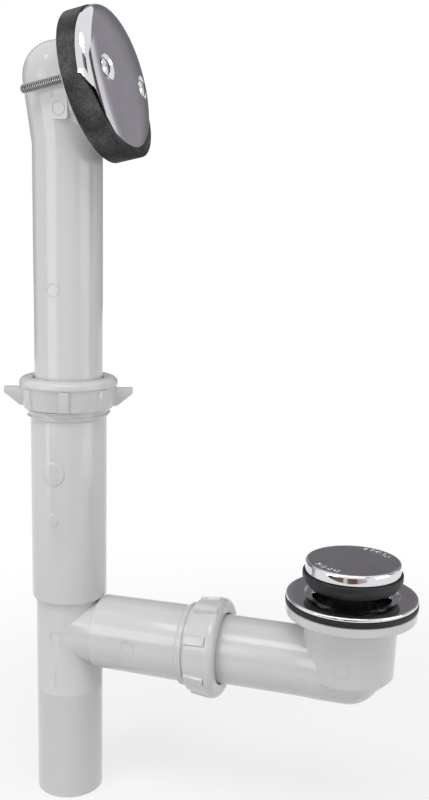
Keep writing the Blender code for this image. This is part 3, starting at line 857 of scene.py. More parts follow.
@dataclass(frozen=True)
class MouldedPlastic:
    """A smooth moulded plastic, a little cloudy.

    Attributes:
        clouding: How much the colour varies.
        depth: How far light spreads under the surface, as a share.
        ripple: Strength of the mould's flow marks.
        dulling: How much the roughness varies.
    """

    name: str
    colour: Colour
    roughness: float
    clouding: float = 0.02
    depth: float = 0.10
    ripple: float = 0.03
    dulling: float = 0.02

    def material(self) -> bpy.types.Material:
        """Build the material.

        Returns:
            The material.
        """
        graph = Graph(self.name)
        low = tuple(part * (1.0 - self.clouding) for part in self.colour)
        high = tuple(part * (1.0 + self.clouding) for part in self.colour)
        cloud = graph.noise(34.0, detail=4.0, stretch=(1.0, 1.0, 0.45))
        graph.drive("Base Color", graph.blend(cloud, ((0.34, low),
                                                      (0.66, high))))
        graph.drive("Roughness", graph.span(
            graph.noise(120.0),
            self.roughness - self.dulling, self.roughness + self.dulling))
        flow = graph.noise(46.0, detail=2.0, stretch=(1.0, 1.0, 0.22))
        graph.bump(flow, 0.0004, self.ripple)
        graph.set("Subsurface Weight", self.depth)
        graph.set("Subsurface Radius", (1.0, 0.95, 0.85))
        graph.set("Subsurface Scale", 0.003)
        graph.set("IOR", 1.49)
        return graph.material


@dataclass(frozen=True)
class PlatedMetal:
    """A polished or plain metal with faint smears.

    Attributes:
        smear: How much the roughness varies.
        wave: Strength of the polish's unevenness.
        stretch: Direction of the smears.
        tarnish: Share of the colour that is left under the film.
        least: Smallest roughness.
    """

    name: str
    colour: Colour
    roughness: float
    smear: float = 0.03
    wave: float = 0.05
    stretch: Point = (1.0, 1.0, 1.0)
    tarnish: float = 0.93
    least: float = 0.02

    def material(self) -> bpy.types.Material:
        """Build the material.

        Returns:
            The material.
        """
        graph = Graph(self.name)
        dull = tuple(part * self.tarnish for part in self.colour)
        film = graph.noise(70.0, detail=5.0, stretch=self.stretch)
        graph.drive("Base Color", graph.blend(film, ((0.35, dull),
                                                     (0.62, self.colour))))
        graph.drive("Roughness", graph.span(
            graph.noise(210.0, detail=4.0, stretch=self.stretch),
            max(self.least, self.roughness - self.smear),
            self.roughness + self.smear))
        graph.bump(graph.noise(55.0, detail=1.0), 0.0004, self.wave)
        graph.set("Metallic", 1.0)
        return graph.material


@dataclass(frozen=True)
class ScrewSteelWithPaintedShade:
    """Bright steel with painted shade: its thread's roots take a dark colour
    in place of the shade between the crests.

    Attributes:
        point: Where the screw's head starts on its axis.
        axis: Direction of its axis, towards the head.
        root: Radius between the crests.
        crest: Radius over the crests.
        painted_root_shade: Dark colour painted into the thread's roots as
            shade.
        smear: How much the roughness varies.
    """

    name: str
    point: Point
    axis: Point
    root: float
    crest: float
    colour: Colour = (0.66, 0.655, 0.645)
    painted_root_shade: Colour = (0.022, 0.022, 0.026)
    roughness: float = 0.15
    smear: float = 0.05

    def material(self) -> bpy.types.Material:
        """Build the material.

        Returns:
            The material.
        """
        graph = Graph(self.name)
        # Painted shade: below the head, points near the roots' radius take the
        # dark colour, while the crests and the head keep the bright one.
        arm = graph.vector("SUBTRACT", graph.where, self.point)
        off = graph.vector("CROSS_PRODUCT", arm.outputs["Vector"], self.axis)
        reach = graph.vector("LENGTH", off.outputs["Vector"])
        along = graph.vector("DOT_PRODUCT", arm.outputs["Vector"], self.axis)
        unshaded_share = graph.nodes.new("ShaderNodeMath")
        unshaded_share.operation = "MAXIMUM"
        graph.links.new(graph.span(reach.outputs["Value"], 0.0, 1.0,
                                   self.root, self.crest), unshaded_share.inputs[0])
        graph.links.new(graph.span(along.outputs["Value"], 0.0, 1.0,
                                   -self.crest / 4, 0.0), unshaded_share.inputs[1])
        graph.drive("Base Color", graph.blend(
            unshaded_share.outputs["Value"], ((0.30, self.painted_root_shade),
                                    (0.85, self.colour))))
        graph.drive("Roughness", graph.span(
            graph.noise(210.0, detail=4.0),
            self.roughness - self.smear, self.roughness + self.smear))
        graph.bump(graph.noise(55.0, detail=1.0), 0.0004, strength=0.04)
        graph.set("Metallic", 1.0)
        return graph.material


@dataclass(frozen=True)
class SoftSheet:
    """Rubber or foam with scuffs and open cells.

    Attributes:
        scuff: Colour of the rubbed places.
        cells: Cells to a metre, or 0 for closed rubber.
        patches: Rubbed patches to a metre.
        speckles: Specks to each patch.
        speckle_share: Share of the specks in the scuffs.
        sheen: How strongly the surface mirrors light.
        polish: How much smoother the smoothest places are.
        dust: How much rougher the roughest places are.
    """

    name: str
    colour: Colour
    scuff: Colour
    roughness: float
    cells: float = 0.0
    patches: float = 55.0
    speckles: float = 19.0
    speckle_share: float = 0.36
    sheen: float = 0.28
    polish: float = 0.08
    dust: float = 0.06

    def material(self) -> bpy.types.Material:
        """Build the material.

        Returns:
            The material.
        """
        graph = Graph(self.name)
        middle = tuple((a * 2.0 + b) / 3.0
                       for a, b in zip(self.colour, self.scuff))
        patch = graph.mix(
            graph.noise(self.patches, detail=8.0),
            graph.noise(self.patches * self.speckles, detail=4.0),
            self.speckle_share)
        graph.drive("Base Color", graph.blend(
            patch, ((0.36, self.colour), (0.52, middle),
                    (0.68, self.scuff))))
        graph.set("Specular IOR Level", self.sheen)
        graph.drive("Roughness", graph.span(
            graph.noise(160.0, detail=4.0),
            self.roughness - self.polish, self.roughness + self.dust))
        if self.cells:
            graph.bump(graph.cells(self.cells), 0.0003, strength=0.5)
            graph.bump(graph.noise(240.0, detail=6.0), 0.0006, strength=0.4)
        else:
            graph.bump(graph.noise(900.0), 0.00006, strength=0.35)
        return graph.material


@dataclass
class Workbench:
    """Finishes pieces, hangs them on their bodies and logs them.

    Attributes:
        count: Pieces finished.
    """

    finishes: dict[Slot, bpy.types.Material] = field(default_factory=dict)
    count: int = 0

    def __post_init__(self) -> None:
        """Mix every finish."""
        recipes = {
            Slot.WHITE: MouldedPlastic(
                "white_plastic_moulded", colour=(0.67, 0.675, 0.665),
                roughness=0.13),
            Slot.WASHER: MouldedPlastic(
                "washer_plastic_moulded", colour=(0.74, 0.74, 0.72),
                roughness=0.45),
            Slot.CHROME: PlatedMetal(
                "chrome_plated", colour=(0.74, 0.73, 0.76), roughness=0.07),
            Slot.RUBBER: SoftSheet(
                "black_rubber_moulded", colour=(0.012, 0.012, 0.013),
                scuff=(0.030, 0.031, 0.034), roughness=0.46),
            Slot.FOAM: SoftSheet(
                "black_foam_cut", colour=(0.010, 0.011, 0.012),
                scuff=(0.150, 0.153, 0.150), roughness=0.90, cells=1900.0),
            Slot.STEEL: PlatedMetal(
                "steel_plain", colour=(0.46, 0.455, 0.44), roughness=0.20,
                smear=0.06, wave=0.04, stretch=(1.0, 1.0, 6.0)),
            Slot.BLACK: MouldedPlastic(
                "black_plastic_moulded", colour=(0.013, 0.013, 0.014),
                roughness=0.34, clouding=0.2, depth=0.0),
            Slot.BRASS: PlatedMetal(
                "brass_turned", colour=(0.72, 0.55, 0.30), roughness=0.26,
                smear=0.06, wave=0.04, stretch=(1.0, 1.0, 8.0)),
        }
        for slot, recipe in recipes.items():
            self.finishes[slot] = recipe.material()

    def fit(self, obj: Piece, slot: Slot, body: Body, *nodes: str) -> Piece:
        """Finish a piece and put it in place of CAD nodes.

        Args:
            obj: The piece.
            slot: Its finish.
            body: The body that it rides on.
            nodes: The CAD nodes that it stands for.

        Returns:
            The same piece.
        """
        mesh = obj.data
        mesh.materials.clear()
        mesh.materials.append(self.finishes[slot])
        mesh.shade_smooth()
        mesh.set_sharp_from_angle(angle=SHARP)
        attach(obj, body.value)
        if nodes:
            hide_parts(*nodes)
        self.count += 1
        LOG.info("%s: %d faces, on %s", obj.name, len(mesh.polygons),
                 body.value)
        return obj

    def keep(self, node: str, slot: Slot) -> None:
        """Give a CAD node that keeps its shape its finish.

        Args:
            node: The node's name.
            slot: Its finish.
        """
        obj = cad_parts[node]
        obj.data.materials.clear()
        obj.data.materials.append(self.finishes[slot])
        self.count += 1
        LOG.info("%s: kept, finished as %s", node, slot.value)


@dataclass
class SlipSocket:
    """Outline and bore of a slip joint's socket.

    Attributes:
        root_r: Outer radius at the step.
        step: Height of the step from the tube.
        mouth: Height of the mouth.
    """

    root_r: float
    step: float
    mouth: float
    shoulder_round: float = 0.0021
    thread_length: float = 0.0156
    thread_floor: float = 0.55
    thread_end: float = 0.0004
    thread_sink: float = 0.0004
    pitch: float = 0.0032
    seat_flare: float = 0.00195
    seat_depth: float = 0.0030
    ledge: float = 0.0030
    ledge_slope: float = 0.0012
    ledge_round: float = 0.0006

    def outside(self) -> Outline:
        """Return the socket's outer points, from the step to the axis."""
        return [(self.root_r, self.step, self.shoulder_round),
                (PIPE.socket_r, self.mouth - self.thread_length),
                (PIPE.socket_r, self.mouth, CRISP), (0.0, self.mouth)]

    def inside(self, start: float) -> Outline:
        """Return the waterway's points.

        Args:
            start: Height where the way starts.

        Returns:
            Points of a cutter for the way.
        """
        floor = self.step + self.ledge
        return [(0.0, start), (PIPE.bore_r, start),
                (PIPE.bore_r, floor, self.ledge_round),
                (PIPE.socket_bore, floor + self.ledge_slope,
                 self.ledge_round),
                (PIPE.socket_bore, self.mouth - self.seat_depth),
                (PIPE.socket_bore + self.seat_flare, self.mouth),
                (PIPE.socket_bore + self.seat_flare, self.mouth + CUT),
                (0.0, self.mouth + CUT)]

    def thread(self, name: str) -> Piece:
        """Model the socket's screw thread as a sleeve.

        Args:
            name: Name of the new object.

        Returns:
            The sleeve.
        """
        run = Thread(self.mouth - self.thread_length,
                     self.mouth - self.thread_end, PIPE.socket_r,
                     PIPE.thread_r, self.pitch, self.thread_floor)
        inner = PIPE.socket_r - self.thread_sink
        outline: Outline = [(inner, run.low)]
        outline += [(PIPE.socket_r, height)
                    for height in run.heights(rows=12)]
        outline.append((inner, run.high))
        return Forms.turned(name, outline, FINE, run)


@dataclass
class TeePiece:
    """The upright socket, tail and branch, moulded as one."""

    shoulder: float = 0.0204
    arm_step: float = 0.0205
    arm_draft: float = 0.0005
    branch_ease: float = 0.0002
    seam_z: float = -0.0355
    seam_stand: float = 0.00012
    half_seam: float = 0.0004
    fillet: float = 0.0006
    medallion_z: float = 0.0570
    medallion_r: float = 0.0069
    medallion_stand: float = 0.00060
    ring_share: float = 0.52
    ring_width: float = 0.0009
    button_z: float = 0.0306
    button_r: float = 0.0037
    button_stand: float = 0.00050
    pin_mark_r: float = 0.0037
    arm_mark_x: float = -0.1203
    arm_mark_up: float = 0.0013
    arrow_top: float = -0.0551
    arrow_tip: float = -0.0698
    arrow_head: float = 0.0016
    arrow_spread: float = 0.7
    arrow_width: float = 0.0004
    arrow_stand: float = 0.00012

    def _moulding(self) -> Piece:
        """Model the joined tubes with their waterways.

        Returns:
            The moulding in world place.
        """
        upright = SlipSocket(PIPE.socket_r, self.shoulder, PIPE.mouth_rise)
        level = SlipSocket(PIPE.socket_r - self.arm_draft, self.arm_step,
                           PIPE.mouth_reach)
        tube = PIPE.tube_r
        stem = Forms.turned("tee_shell", [
            (0.0, -PIPE.tail), (tube, -PIPE.tail, EASED),
            (tube, self.seam_z - self.half_seam),
            (tube + self.seam_stand, self.seam_z),
            (tube, self.seam_z + self.half_seam), (tube, self.shoulder)]
            + upright.outside())
        branch_r = tube - self.branch_ease
        branch = Forms.turned("branch", [(0.0, 0.0), (branch_r, 0.0),
                                         (branch_r, self.arm_step)]
                              + level.outside())
        way = Forms.turned("way", upright.inside(-PIPE.tail - CUT))
        arm_way = Forms.turned("arm_way", level.inside(0.0))
        centre = (PIPE.tee_x, 0.0, PIPE.arm_z)
        for piece in (stem, way):
            Forms.place(piece, centre)
        for piece in (branch, arm_way):
            Forms.place(piece, centre, LEVEL_TURN)
        Forms.combine(stem, Join.ADD, branch)
        Forms.combine(stem, Join.CUT, way, arm_way)
        Forms.soften(stem, self.fillet)
        threads = [Forms.place(upright.thread("upright_thread"), centre),
                   Forms.place(level.thread("arm_thread"), centre,
                               LEVEL_TURN)]
        return Forms.gather(stem, threads)

    def _marks(self) -> list[Piece]:
        """Model the marks that the mould leaves on the front.

        Returns:
            The marks in world place.
        """
        socket = TubeMark(PIPE.tee_x, 0.0, PIPE.socket_r, Facing.UPRIGHT)
        tail = TubeMark(PIPE.tee_x, 0.0, PIPE.tube_r, Facing.UPRIGHT)
        arm_r = PIPE.socket_r - self.arm_draft / 2
        arm = TubeMark(0.0, PIPE.arm_z + self.arm_mark_up, arm_r,
                       Facing.LEVEL)
        marks = [
            socket.disc("medallion", self.medallion_z, self.medallion_r,
                        self.medallion_stand),
            socket.ring("medallion_ring", self.medallion_z,
                        self.medallion_r * self.ring_share,
                        self.medallion_stand, self.ring_width),
            socket.disc("button", self.button_z, self.button_r,
                        self.button_stand),
            tail.ring("tail_mark", PIPE.arm_z, self.pin_mark_r),
            arm.ring("arm_mark", self.arm_mark_x, self.pin_mark_r),
        ]
        barb = self.arrow_head * self.arrow_spread
        for name, along, across in (
                ("arrow_shaft", self.arrow_top, 0.0),
                ("arrow_left", self.arrow_tip + self.arrow_head, -barb),
                ("arrow_right", self.arrow_tip + self.arrow_head, barb)):
            path = [(along, across), (self.arrow_tip, 0.0)]
            marks.append(tail.line(name, path, self.arrow_width,
                                   self.arrow_stand))
        return marks

    def build(self, bench: Workbench) -> None:
        """Model and finish the tee."""
        shell = Forms.gather(self._moulding(), self._marks())
        bench.fit(shell, Slot.WHITE, Body.TEE, "tee")


@dataclass
class SlipNut:
    """A slip nut with grip ribs and two wings or lugs."""

    skirt: float = 0.0093
    wall: float = 0.0020
    bead_r: float = 0.00375
    bead_inset: float = 0.0016
    lip_clearance: float = 0.0006
    lip_round: float = 0.0015
    washer_flange: float = 0.0034
    rib_stand: float = 0.0011
    rib_base: float = 0.0060
    rib_top: float = 0.0046
    rib_spread: float = math.radians(50)
    rib_high: float = 0.0024
    skirt_flare: float = 0.0013
    skirt_chamfer: float = 0.0004
    crease: float = 0.0031
    wing_tip: float = 0.0360
    wing_under: float = -0.0017
    wing_top: float = 0.0014
    wing_foot: float = 0.0017
    lug_stand: float = 0.0038
    lug_inset: float = 0.0020
    half_fin: float = 0.0020
    fillet: float = 0.0005

    @property
    def bore_r(self) -> float:
        """Return the radius of the threaded bore."""
        return PIPE.thread_r + PIPE.gap

    @property
    def outer_r(self) -> float:
        """Return the skirt's outer radius."""
        return self.bore_r + self.wall

    @property
    def lip_under(self) -> float:
        """Return the height of the lip's underside."""
        return self.washer_flange + 2 * PIPE.gap

    @property
    def root_r(self) -> float:
        """Return the radius where wings, lugs and ribs start."""
        return self.outer_r - self.wall / 2

    @property
    def low(self) -> float:
        """Return the height of the skirt's edge over its chamfer."""
        return self.skirt_chamfer - self.skirt

    def wing(self) -> Outline:
        """Return the side view of a wing with a sloped underside."""
        return [(self.root_r, self.low),
                (self.outer_r + self.wing_foot, self.low),
                (self.wing_tip, self.wing_under),
                (self.wing_tip, self.wing_top), (self.root_r, self.wing_top)]

    def lug(self) -> Outline:
        """Draw the side view of a square lug.

        Returns:
            Points of (radius, height).
        """
        outer = self.outer_r + self.lug_stand
        low = self.lug_inset - self.skirt
        high = self.lip_under + self.bead_r - self.lug_inset
        return [(self.root_r, low), (outer, low), (outer, high),
                (self.root_r, high)]

    def _ring(self, name: str) -> Piece:
        """Model the skirt, bead and lip.

        Args:
            name: Name of the new object.

        Returns:
            The ring.
        """
        centre_r = self.outer_r - self.bead_inset
        meet = math.asin((self.lip_under - self.crease) / self.bead_r)
        outline: Outline = [(self.bore_r, -self.skirt),
                            (self.outer_r - self.skirt_chamfer,
                             -self.skirt), (self.outer_r, self.low),
                            (self.outer_r + self.skirt_flare, self.crease,
                             FIRM)]
        steps = 14
        for index in range(steps + 1):
            angle = -meet + (math.pi / 2 + meet) * index / steps
            outline.append((centre_r + self.bead_r * math.cos(angle),
                            self.lip_under + self.bead_r * math.sin(angle)))
        lip = PIPE.tube_r + self.lip_clearance
        top = self.lip_under + self.bead_r
        outline += [(lip, top, self.lip_round), (lip, self.lip_under),
                    (self.bore_r, self.lip_under)]
        return Forms.turned(name, outline)

    def _rib(self, azimuth: float) -> Piece:
        """Model one grip rib.

        Args:
            azimuth: Its angle about the nut.

        Returns:
            The rib.
        """
        slope = self.skirt_flare / (self.crease - self.low)
        rings = []
        for height in (self.low, self.rib_high):
            outer = (self.outer_r + self.rib_stand
                     + slope * (height - self.low))
            rings.append([(self.root_r, -self.rib_base / 2, height),
                          (outer, -self.rib_top / 2, height),
                          (outer, self.rib_top / 2, height),
                          (self.root_r, self.rib_base / 2, height)])
        return Forms.place(Forms.lofted("rib", rings), (0.0, 0.0, 0.0),
                           (0.0, 0.0, azimuth))

    def build(self, name: str, side_view: Outline, azimuth: float) -> Piece:
        """Model a nut with its origin at the socket's mouth.

        Args:
            name: Name of the new object.
            side_view: Outline of its wings or lugs.
            azimuth: Angle of the first wing or lug.

        Returns:
            The nut.
        """
        nut = self._ring(name)
        tools = []
        for side in (0.0, math.pi):
            fin = Forms.slab("fin", side_view, self.half_fin)
            tools.append(Forms.place(fin, (0.0, 0.0, 0.0),
                                     (0.0, 0.0, azimuth + side)))
            middle = azimuth + side + math.pi / 2
            for turn in (-self.rib_spread, 0.0, self.rib_spread):
                tools.append(self._rib(middle + turn))
        Forms.combine(nut, Join.ADD, *tools)
        return Forms.soften(nut, self.fillet)


@dataclass
class SlipWasher:
    """A tapered slip washer."""

    flange: float = 0.0034
    nose: float = 0.0015
    nose_wall: float = 0.0006
    slope: float = 0.65
    rim_r: float = 0.0229

    def build(self, name: str) -> Piece:
        """Model a washer with its origin at the socket's mouth.

        Args:
            name: Name of the new object.

        Returns:
            The washer.
        """
        bore = PIPE.socket_bore
        tip = bore + self.nose_wall
        top = PIPE.gap + self.flange
        return Forms.turned(name, [
            (bore, -self.nose), (tip, -self.nose),
            (tip + self.nose * self.slope, PIPE.gap),
            (self.rim_r, PIPE.gap), (self.rim_r, top, FULL),
            (bore, top)])


@dataclass
class SlipJoints:
    """Both slip joints' nuts and washers."""

    nut: SlipNut = field(default_factory=SlipNut)
    washer: SlipWasher = field(default_factory=SlipWasher)
    wing_azimuth: float = math.radians(20)
    lug_azimuth: float = math.radians(22)

    def build(self, bench: Workbench) -> None:
        """Model and finish the joints' pieces.

        Args:
            bench: Where the pieces are finished.
        """
        up = (PIPE.tee_x, 0.0, PIPE.arm_z + PIPE.mouth_rise)
        level = (PIPE.tee_x + PIPE.mouth_reach, 0.0, PIPE.arm_z)
        winged = self.nut.build("winged_nut", self.nut.wing(),
                                self.wing_azimuth)
        lugged = self.nut.build("lugged_nut", self.nut.lug(),
                                self.lug_azimuth)
        bench.fit(Forms.place(winged, up), Slot.WHITE, Body.TEE,
                  "overflow_slip_nut")
        bench.fit(Forms.place(lugged, level, LEVEL_TURN), Slot.WHITE,
                  Body.TEE, "arm_slip_nut")
        upper = Forms.place(self.washer.build("upper_washer"), up)
        lower = Forms.place(self.washer.build("arm_washer"), level,
                            LEVEL_TURN)
        bench.fit(upper, Slot.WASHER, Body.TEE, "overflow_slip_washer")
        bench.fit(lower, Slot.WASHER, Body.TEE, "arm_slip_washer")


@dataclass
class BathShoe:
    """The white shoe under the bath, with its rubber ring."""

    flange_r: float = 0.0350
    flange_height: float = 0.0053
    gasket_height: float = 0.0032
    gasket_r: float = 0.0354
    cup_r: float = 0.0252
    draft: float = 0.0010
    wall: float = 0.0024
    edge_drop: float = 0.0020
    cone_drop: float = 0.0120
    cone_r: float = 0.0120
    floor_drop: float = 0.0030
    floor_r: float = 0.0040
    flare_start: float = 0.0320
    flare_length: float = 0.0180
    flare_stand: float = 0.0024
    end_reach: float = 0.050
    barrel_depth: float = 0.0205
    floor_round: float = 0.0015
    cone_round: float = 0.0040
    edge_round: float = 0.0012
    under_round: float = 0.0009
    fillet: float = 0.0007
    mark_z: float = -0.0317
    mark_r: float = 0.0040

    @property
    def top(self) -> float:
        """Return the height of the shoe's top face."""
        return -self.gasket_height - PIPE.gap

    @property
    def bore(self) -> float:
        """Return the bore radius around the barrel."""
        return self.cup_r - self.wall

    def _cup(self) -> Piece:
        """Model the flange and cup as a solid.

        Returns:
            The solid.
        """
        edge = PIPE.arm_z - self.edge_drop
        cone = edge - self.cone_drop
        floor = cone - self.floor_drop
        under = self.top - self.flange_height
        return Forms.turned("shoe_shell", [
            (0.0, floor), (self.floor_r, floor, self.floor_round),
            (self.cone_r, cone, self.cone_round),
            (self.cup_r - self.draft, edge, self.edge_round),
            (self.cup_r, under, self.under_round),
            (self.flange_r, under, self.under_round),
            (self.flange_r, self.top, FULL), (0.0, self.top)])

    def _chamber(self) -> Piece:
        """Model the cutter for the cup's inside.

        Returns:
            The cutter.
        """
        edge = PIPE.arm_z - self.edge_drop
        cone = edge - self.cone_drop + self.wall
        floor = cone - self.floor_drop
        room = self.cup_r - self.draft - self.wall
        ledge = -self.barrel_depth - PIPE.gap
        high = self.top + CUT
        return Forms.turned("chamber", [
            (0.0, floor), (self.floor_r, floor),
            (self.cone_r - self.wall / 2, cone), (room, edge),
            (room, ledge - (self.bore - room)), (self.bore, ledge),
            (self.bore, high), (0.0, high)])

    def _tube(self, name: str, inset: float) -> Piece:
        """Model the flared tube, or its waterway with an inset.

        Args:
            name: Name of the new object.
            inset: How far inside the outer wall.

        Returns:
            The solid.
        """
        radius = PIPE.tube_r - inset
        start = PIPE.tee_x + self.end_reach - (CUT if inset else 0.0)
        rings = [self._oval(start, radius, radius)]
        steps = 14
        for index in range(steps + 1):
            share = index / steps
            rings.append(self._oval(
                self.flare_length * share - self.flare_start,
                radius + self.flare_stand * share * share, radius))
        stretch = (radius + self.flare_stand) / radius
        for index in range(1, steps + 1):
            angle = math.pi / 2 * index / (steps + 1)
            high = radius * math.cos(angle)
            rings.append(self._oval(radius * math.sin(angle),
                                    high * stretch, high))
        return Forms.lofted(name, rings)

    @staticmethod
    def _oval(x: float, half_width: float, half_height: float) -> list[Point]:
        """Return an oval ring around the arm's axis.

        Args:
            x: Place along the arm.
            half_width: Half of its width.
            half_height: Half of its height.

        Returns:
            The ring's points.
        """
        ring = []
        for index in range(FINE):
            angle = math.tau * index / FINE
            ring.append((x, half_width * math.cos(angle),
                         PIPE.arm_z + half_height * math.sin(angle)))
        return ring

    def build(self, bench: Workbench) -> None:
        """Model and finish the shoe and its ring.

        Args:
            bench: Where the pieces are finished.
        """
        shoe = self._cup()
        Forms.combine(shoe, Join.ADD, self._tube("shoe_tube", 0.0))
        Forms.combine(shoe, Join.CUT, self._tube("tube_way", PIPE.wall),
                      self._chamber())
        Forms.soften(shoe, self.fillet)
        rise = self.mark_z - PIPE.arm_z + self.edge_drop
        height = self.top - self.flange_height - PIPE.arm_z + self.edge_drop
        radius = self.cup_r - self.draft * (1.0 - rise / height)
        mark = TubeMark(0.0, 0.0, radius, Facing.UPRIGHT)
        Forms.gather(shoe, [mark.ring("shoe_mark", self.mark_z,
                                      self.mark_r)])
        bench.fit(shoe, Slot.WHITE, Body.WASTE, "bath_shoe")
        low = self.top + PIPE.gap
        high = -PIPE.gap
        ring = Forms.turned("shoe_ring", [
            (self.bore, low), (self.gasket_r, low, EASED),
            (self.gasket_r, high, EASED), (self.bore, high)])
        bench.fit(ring, Slot.RUBBER, Body.WASTE, "shoe_gasket")


@dataclass
class DrainFlange:
    """The chromed flange, barrel and cross, with the post and spring."""

    radius: float = 0.0351
    edge: float = 0.0018
    crown: float = 0.0006
    throat_top_r: float = 0.0254
    ledge_r: float = 0.0246
    ledge_rise: float = 0.0009
    ledge_fall: float = 0.00015
    ledge_width: float = 0.0032
    throat_taper: float = 0.0020
    barrel_r: float = 0.0225
    barrel_wall: float = 0.0021
    barrel_depth: float = 0.0205
    ledge_end_round: float = 0.0006
    throat_round: float = 0.0010
    thread_depth: float = 0.0009
    thread_pitch: float = 0.0021
    thread_end: float = 0.0004
    thread_top: float = 0.0006
    cross_top: float = 0.0140
    cross_height: float = 0.0045
    cross_bite: float = 0.0008
    half_cross: float = 0.0016
    hub_r: float = 0.0078
    hub_bore: float = 0.0049
    spring_r: float = 0.0044
    spring_low: float = -0.0104
    spring_high: float = 0.0058
    spring_wire: float = 0.0005
    spring_turns: int = 7
    spring_steps: int = 28
    wire_sides: int = 10
    spring_foot: float = -0.0109
    spring_travel: float = 0.0060

    def _flange(self) -> Piece:
        """Model the flange, barrel and cross as one.

        Returns:
            The piece.
        """
        top = self.edge + self.crown
        inner = self.barrel_r - self.barrel_wall
        root = self.barrel_r - self.thread_depth
        run = Thread(-self.barrel_depth + self.thread_end, -self.thread_top,
                     root, self.barrel_r, self.thread_pitch)
        ledge_low = self.ledge_rise - self.ledge_fall
        outline: Outline = [
            (root, -self.thread_end), (self.barrel_r, 0.0),
            (self.radius, 0.0, CRISP), (self.radius, self.edge, SOFT),
            (self.throat_top_r, top, FULL),
            (self.ledge_r, self.ledge_rise, FIRM),
            (self.ledge_r - self.ledge_width, ledge_low,
             self.ledge_end_round),
            (inner, ledge_low - self.throat_taper, self.throat_round),
            (inner, -self.barrel_depth, CRISP)]
        outline += [(root, height) for height in run.heights()]
        flange = Forms.turned("flange_and_barrel", outline, FINE, run)
        low = -self.cross_top - self.cross_height
        reach = inner + self.cross_bite
        half = self.half_cross
        cross = Forms.place(Forms.turned("hub", [
            (0.0, 0.0), (self.hub_r, 0.0, FIRM),
            (self.hub_r, self.cross_height, FIRM),
            (0.0, self.cross_height)], MEDIUM), (0.0, 0.0, low))
        arms = []
        for azimuth in (math.pi / 4, math.pi / 4 + math.pi / 2):
            arm = Forms.prism("arm", [(-reach, -half), (reach, -half),
                                      (reach, half), (-reach, half)],
                              self.cross_height)
            arms.append(Forms.place(arm, (0.0, 0.0, low),
                                    (0.0, 0.0, azimuth)))
        Forms.combine(cross, Join.ADD, *arms)
        bore = Forms.turned("bore", [
            (0.0, low - CUT), (self.hub_bore, low - CUT),
            (self.hub_bore, CUT - self.cross_top),
            (0.0, CUT - self.cross_top)], MEDIUM)
        Forms.combine(cross, Join.CUT, bore)
        Forms.soften(cross, CRISP)
        return Forms.gather(flange, [cross])

    def _spring(self) -> Piece:
        """Model the coil spring with closed ends.

        Returns:
            The spring.
        """
        total = self.spring_turns * self.spring_steps
        rings = []
        for index in range(total + 1):
            share = index / total
            angle = math.tau * index / self.spring_steps
            height = self.spring_low + (self.spring_high
                                        - self.spring_low) * share
            out = Vector((math.cos(angle), math.sin(angle), 0.0))
            ring = []
            for side in range(self.wire_sides):
                turn = math.tau * side / self.wire_sides
                lift = Vector((0.0, 0.0, math.sin(turn)))
                ring.append(out * self.spring_r + self.spring_wire
                            * (out * math.cos(turn) + lift)
                            + Vector((0.0, 0.0, height)))
            rings.append(ring)
        return Forms.lofted("coil_spring", rings)

    def build(self, bench: Workbench) -> None:
        """Model and finish the flange and what stands in it.

        Args:
            bench: Where the pieces are finished.
        """
        bench.fit(self._flange(), Slot.CHROME, Body.WASTE, "drain_flange")
        spring = self._spring()
        bench.fit(spring, Slot.STEEL, Body.WASTE, "stopper_spring")
        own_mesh(spring)
        bench.keep("stopper_post", Slot.BRASS)
        bench.keep("post_nut", Slot.BRASS)


